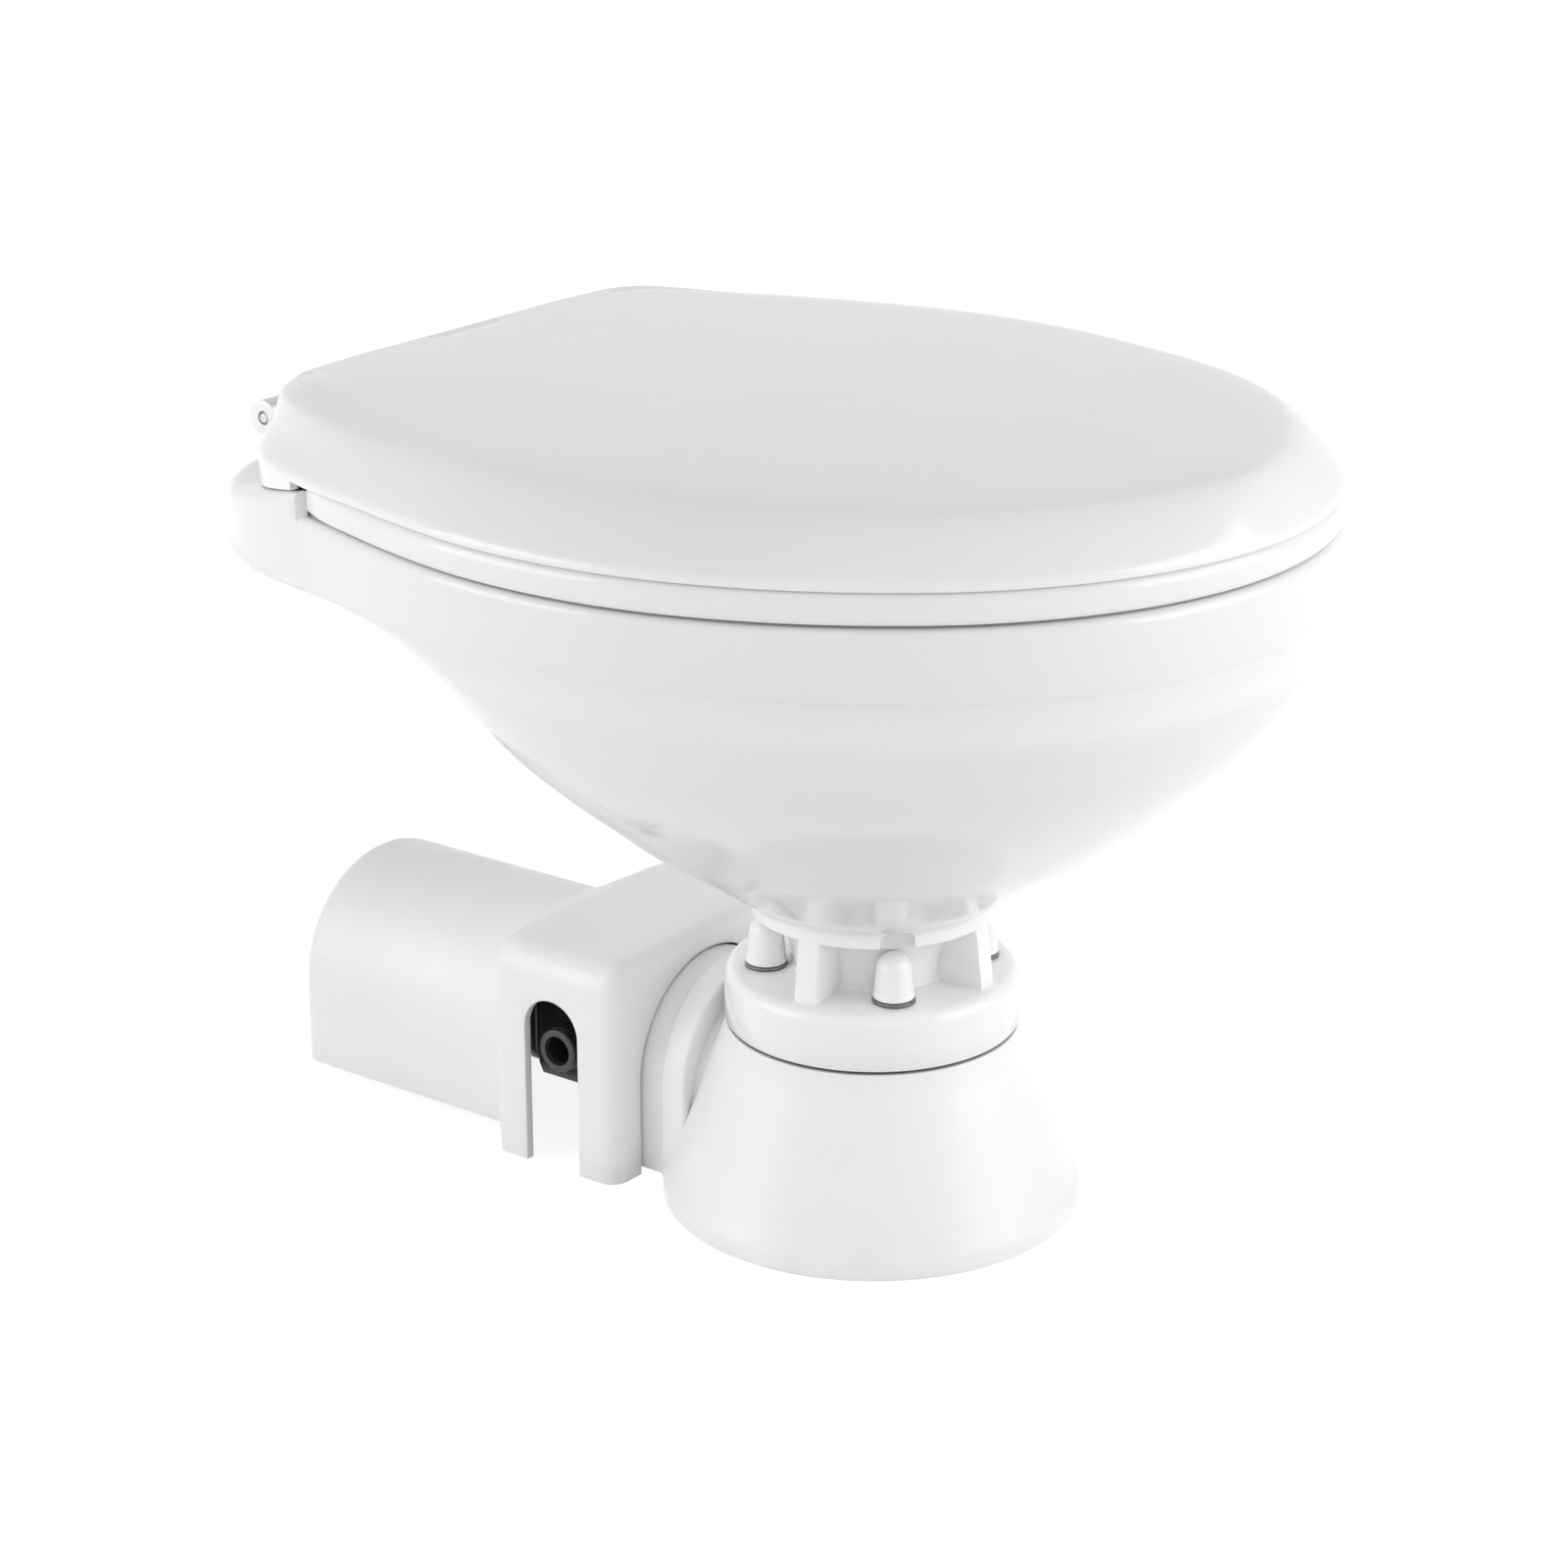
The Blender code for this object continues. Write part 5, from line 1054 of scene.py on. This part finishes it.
cover_rows = [cover_row(*BOX, COVER_FRONT + behind, inset)
              for inset, behind in rounding(COVER_EDGE, (90, 72, 54, 36, 18, 0))]
cover_rows += [cover_row(*BOX, place) for place in (0.105, 0.120, 0.135, COVER_BOX_REAR - 0.0030)]
cover_rows += [cover_row(*mixed(share), COVER_BOX_REAR + behind) for share, behind in (
    (0.04, -0.0005), (0.18, 0.0015), (0.5, 0.0042), (0.82, 0.0068), (0.96, 0.0088), (1.0, 0.0115))]
cover_rows += [cover_row(*TUNNEL, place) for place in (0.180, 0.210, 0.240, COVER_REAR - COVER_EDGE)]
cover_rows += [cover_row(*TUNNEL, COVER_REAR - before, inset)
               for inset, before in rounding(COVER_EDGE, (18, 36, 54, 72, 90))]
cover = thicken(loft("cover", cover_rows, wrap=False), COVER_WALL)

# The tunnel's sides end above the floor, the front fits over the collar, and a slot lets the hose out
combine(cover, box_between((-0.1, COVER_BOX_REAR, -OVERRUN), (0.1, COVER_REAR + OVERRUN, TUNNEL_LIFT)),
        "DIFFERENCE")
combine(cover, arched_block(COLLAR_HALF - CLEARANCE, COLLAR_TOP - 0.0009, -OVERRUN, COVER_FRONT - OVERRUN,
                            COVER_FRONT + 0.012, 96), "DIFFERENCE")
combine(cover, arched_block(SLOT_HALF_WIDTH, SLOT_TOP, -OVERRUN, *SLOT_CUT, 64, SLOT_Y, "Y"), "DIFFERENCE")
soften(cover, 0.0007, 2, 50.0)
cover.data.transform(Matrix.Translation((0, PEDESTAL_Y, 0)))
settle(cover, "pump_cover", moulding, 30.0)
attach(cover, "pedestal")
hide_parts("cover")

# ------------------------------------------------------------------------- pump, motor and fixings
# Under the cover: a black glass-filled plastic macerator housing and pump body, a black painted
# motor on a rubber foot, and stainless screws, shaft and chopper. Each keeps its imported shape and
# gets its own finish, and some get their edges rounded.


def dark_plastic(name, colour, roughness):
    """Glass-filled plastic: short pale fibres in a dark surface, and a coarse moulded grain."""
    made = Finish(name, roughness)
    fibre = made.noise(1.0, 2.0, made.stretched((700.0, 2600.0, 2600.0)))
    cloud = made.noise(60.0, 4.0)
    pale = tuple(channel * 1.9 + 0.01 for channel in colour)
    mottle = made.step(fibre, 0.60, 0.72) * 0.5 + made.step(cloud, 0.4, 0.8) * 0.25
    made.feed("Base Color", made.tint(mottle, colour, pale))
    made.feed("Roughness", made.step(cloud, 0.3, 0.7, roughness - 0.06, roughness + 0.1))
    made.feed("Normal", made.bump(made.noise(1900.0, 2.0), 0.00004))
    return made


pump_black = dark_plastic("pump_black_finish", (0.012, 0.012, 0.013), 0.42)
port_grey = dark_plastic("port_grey_finish", (0.042, 0.042, 0.045), 0.50)
carbon = dark_plastic("seal_carbon_finish", (0.06, 0.06, 0.06), 0.50)
blade_steel = steel("blade_steel_finish", (0.58, 0.57, 0.55), 0.30, (2600.0, 700.0, 2600.0))

motor_paint = Finish("motor_black_finish", 0.34, coat_weight=0.3, coat_roughness=0.2)
peel = motor_paint.noise(420.0, 3.0)
dust = motor_paint.noise(30.0, 4.0)
dusty = motor_paint.step(dust, 0.45, 0.8)
motor_paint.feed("Base Color", motor_paint.tint(dusty, (0.030, 0.030, 0.032), (0.050, 0.049, 0.048)))
motor_paint.feed("Roughness", motor_paint.step(dust, 0.35, 0.75, 0.28, 0.46))
motor_paint.feed("Normal", motor_paint.bump(peel, 0.00006))


def dress(node, body, finish, edge):
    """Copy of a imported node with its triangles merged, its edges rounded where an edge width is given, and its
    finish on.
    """
    piece = nodes[node].copy()
    piece.data = nodes[node].data.copy()
    piece.parent = None
    for key in list(piece.keys()):
        del piece[key]
    bpy.context.scene.collection.objects.link(piece)
    take(piece)
    bpy.ops.object.mode_set(mode="EDIT")
    bpy.ops.mesh.select_all(action="SELECT")
    bpy.ops.mesh.remove_doubles(threshold=0.000002)
    bpy.ops.mesh.dissolve_limited(angle_limit=math.radians(0.5))
    bpy.ops.object.mode_set(mode="OBJECT")
    if edge > 0.0:
        soften(piece, edge, 2, 35.0)
    settle(piece, node + "_piece", finish, 30.0)
    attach(piece, body)
    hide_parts(node)


# Body, slot, finish and rounding of the edges, then the nodes that they are for
for body, slot_name, finish, edge, names in (
        ("pedestal", "pump_black", pump_black, 0.0004, ("macerator_housing", "pump_body")),
        ("pedestal", "port_grey", port_grey, 0.0003, ("port_ring",)),
        ("pedestal", "motor_black", motor_paint, 0.0003, ("motor_plate",)),
        ("pedestal", "motor_black", motor_paint, 0.0, ("motor_can",)),
        ("pedestal", "port_grey", port_grey, 0.0, ("motor_end",)),
        ("pedestal", "rubber_grey", grey_rubber, 0.0006, ("motor_foot",)),
        ("pedestal", "rubber_black", black_rubber, 0.0, ("flange_gasket",)),
        ("pedestal", "seal_carbon", carbon, 0.0, ("shaft_seal",)),
        ("pedestal", "stainless", stainless, 0.0,
         ("wear_plate", "foot_screw_l", "foot_screw_r",
          "housing_screw_1", "housing_screw_2", "housing_screw_3", "housing_screw_4")),
        ("pedestal", "stainless", stainless, 0.0003, ("bolt_fl", "bolt_fr", "bolt_rl", "bolt_rr")),
        ("pedestal", "stainless", stainless, 0.0,
         ("hinge_pin_l", "hinge_pin_r", "hinge_washer_l", "hinge_washer_r")),
        ("pedestal", "stainless", stainless, 0.0003, ("hinge_bolt_l", "hinge_bolt_r")),
        ("rotor", "stainless", stainless, 0.0, ("motor_shaft",)),
        ("rotor", "blade_steel", blade_steel, 0.0, ("chopper",)),
        ("rotor", "pump_black", pump_black, 0.0003, ("impeller",))):
    for node in names:
        dress(node, body, finish, edge)

# ---------------------------------------------------------------------------------------- studio
# A white room with a darker ceiling, a broad lamp at either side, and a floor that the camera sees as
# white and that keeps the object's shadow.

WALL_LEVEL = 1.55
CEILING_LEVEL = 0.20
FLOOR_SHADE = 0.42
FLOOR_GLOW = 0.87
FLOOR_BOUNCE = 0.82
WALL_TOP = 0.85
LAMP_HEIGHT = 0.85
LAMP_AIM = (0.0, 0.0, 0.15)
LEFT_POWER = 12.0
RIGHT_POWER = 17.0


def seen_directly(network):
    """1 for what the camera, a reflection or glass shows, and 0 for the light that falls on the object."""
    camera_ray, mirror_ray, clear_ray = (network.node("LightPath", {}, {}, "Is " + kind + " Ray")
                                         for kind in ("Camera", "Glossy", "Transmission"))
    return camera_ray.maths("MAXIMUM", camera_ray.maths("MAXIMUM", camera_ray, mirror_ray), clear_ray)


def grey(level):
    return (level, level, level, 1.0)


world = bpy.data.worlds.new("white_studio")
bpy.context.scene.world = world
world.use_nodes = True
room = Nodes(world.node_tree, "Background")
upward = room.node("SeparateXYZ", {}, {0: room.node("TexCoord", {}, {}, "Generated")}, "Z")
walls = room.node("MapRange", {"interpolation_type": "SMOOTHSTEP"},
                  {"Value": upward, "From Max": WALL_TOP, "To Min": WALL_LEVEL, "To Max": CEILING_LEVEL})
room.feed("Strength", room.node("MapRange", {}, {"Value": seen_directly(room), "To Min": walls, "To Max": 1.0}))
room.shader.inputs["Color"].default_value = grey(1.0)

clear_selection()
bpy.ops.mesh.primitive_plane_add(size=60.0, location=(0, 0, 0))
floor = bpy.context.object
floor.name = "studio_floor"
paper = bpy.data.materials.new("floor_white")
paper.use_nodes = True
sheet = Nodes(paper.node_tree, "Material Output")
sheet.tree.nodes.remove(sheet.tree.nodes["Principled BSDF"])
shown = sheet.node("AddShader", {}, {0: sheet.node("BsdfDiffuse", {}, {"Color": grey(FLOOR_SHADE)}),
                                     1: sheet.node("Emission", {}, {"Strength": FLOOR_GLOW})})
bounce = sheet.node("BsdfDiffuse", {}, {"Color": grey(FLOOR_BOUNCE)})
sheet.feed("Surface", sheet.node("MixShader", {}, {0: seen_directly(sheet), 1: bounce, 2: shown}))
floor.data.materials.append(paper)


def soft_lamp(name, place, size, power):
    clear_selection()
    bpy.ops.object.light_add(type="AREA", location=place)
    lamp = bpy.context.object
    lamp.name = name
    lamp.data.shape = "SQUARE"
    lamp.data.size = size
    lamp.data.energy = power
    lamp.rotation_euler = (Vector(LAMP_AIM) - Vector(place)).to_track_quat("-Z", "Y").to_euler()


soft_lamp("lamp_left", (-1.53, 1.26, LAMP_HEIGHT), 1.4, LEFT_POWER)
soft_lamp("lamp_right", (0.76, -1.83, LAMP_HEIGHT), 1.6, RIGHT_POWER)

# Camera where the photograph was taken from
CAMERA_PLACE = (-1.1683, -0.8631, 0.6897)
CAMERA_AZIMUTH = math.radians(-53.53)
CAMERA_ELEVATION = math.radians(19.73)
CAMERA_LENS = 86.94
level_reach = math.cos(CAMERA_ELEVATION)
away = Vector((math.sin(CAMERA_AZIMUTH) * level_reach, -math.cos(CAMERA_AZIMUTH) * level_reach,
               math.sin(CAMERA_ELEVATION)))
bpy.ops.object.camera_add(location=CAMERA_PLACE)
camera = bpy.context.object
camera.name = "photo_camera"
camera.rotation_euler = away.to_track_quat("Z", "Y").to_euler()
camera.data.lens = CAMERA_LENS
camera.data.sensor_width = 36.0
camera.data.clip_end = 200.0
bpy.context.scene.camera = camera
bpy.context.scene.view_settings.view_transform = "Standard"
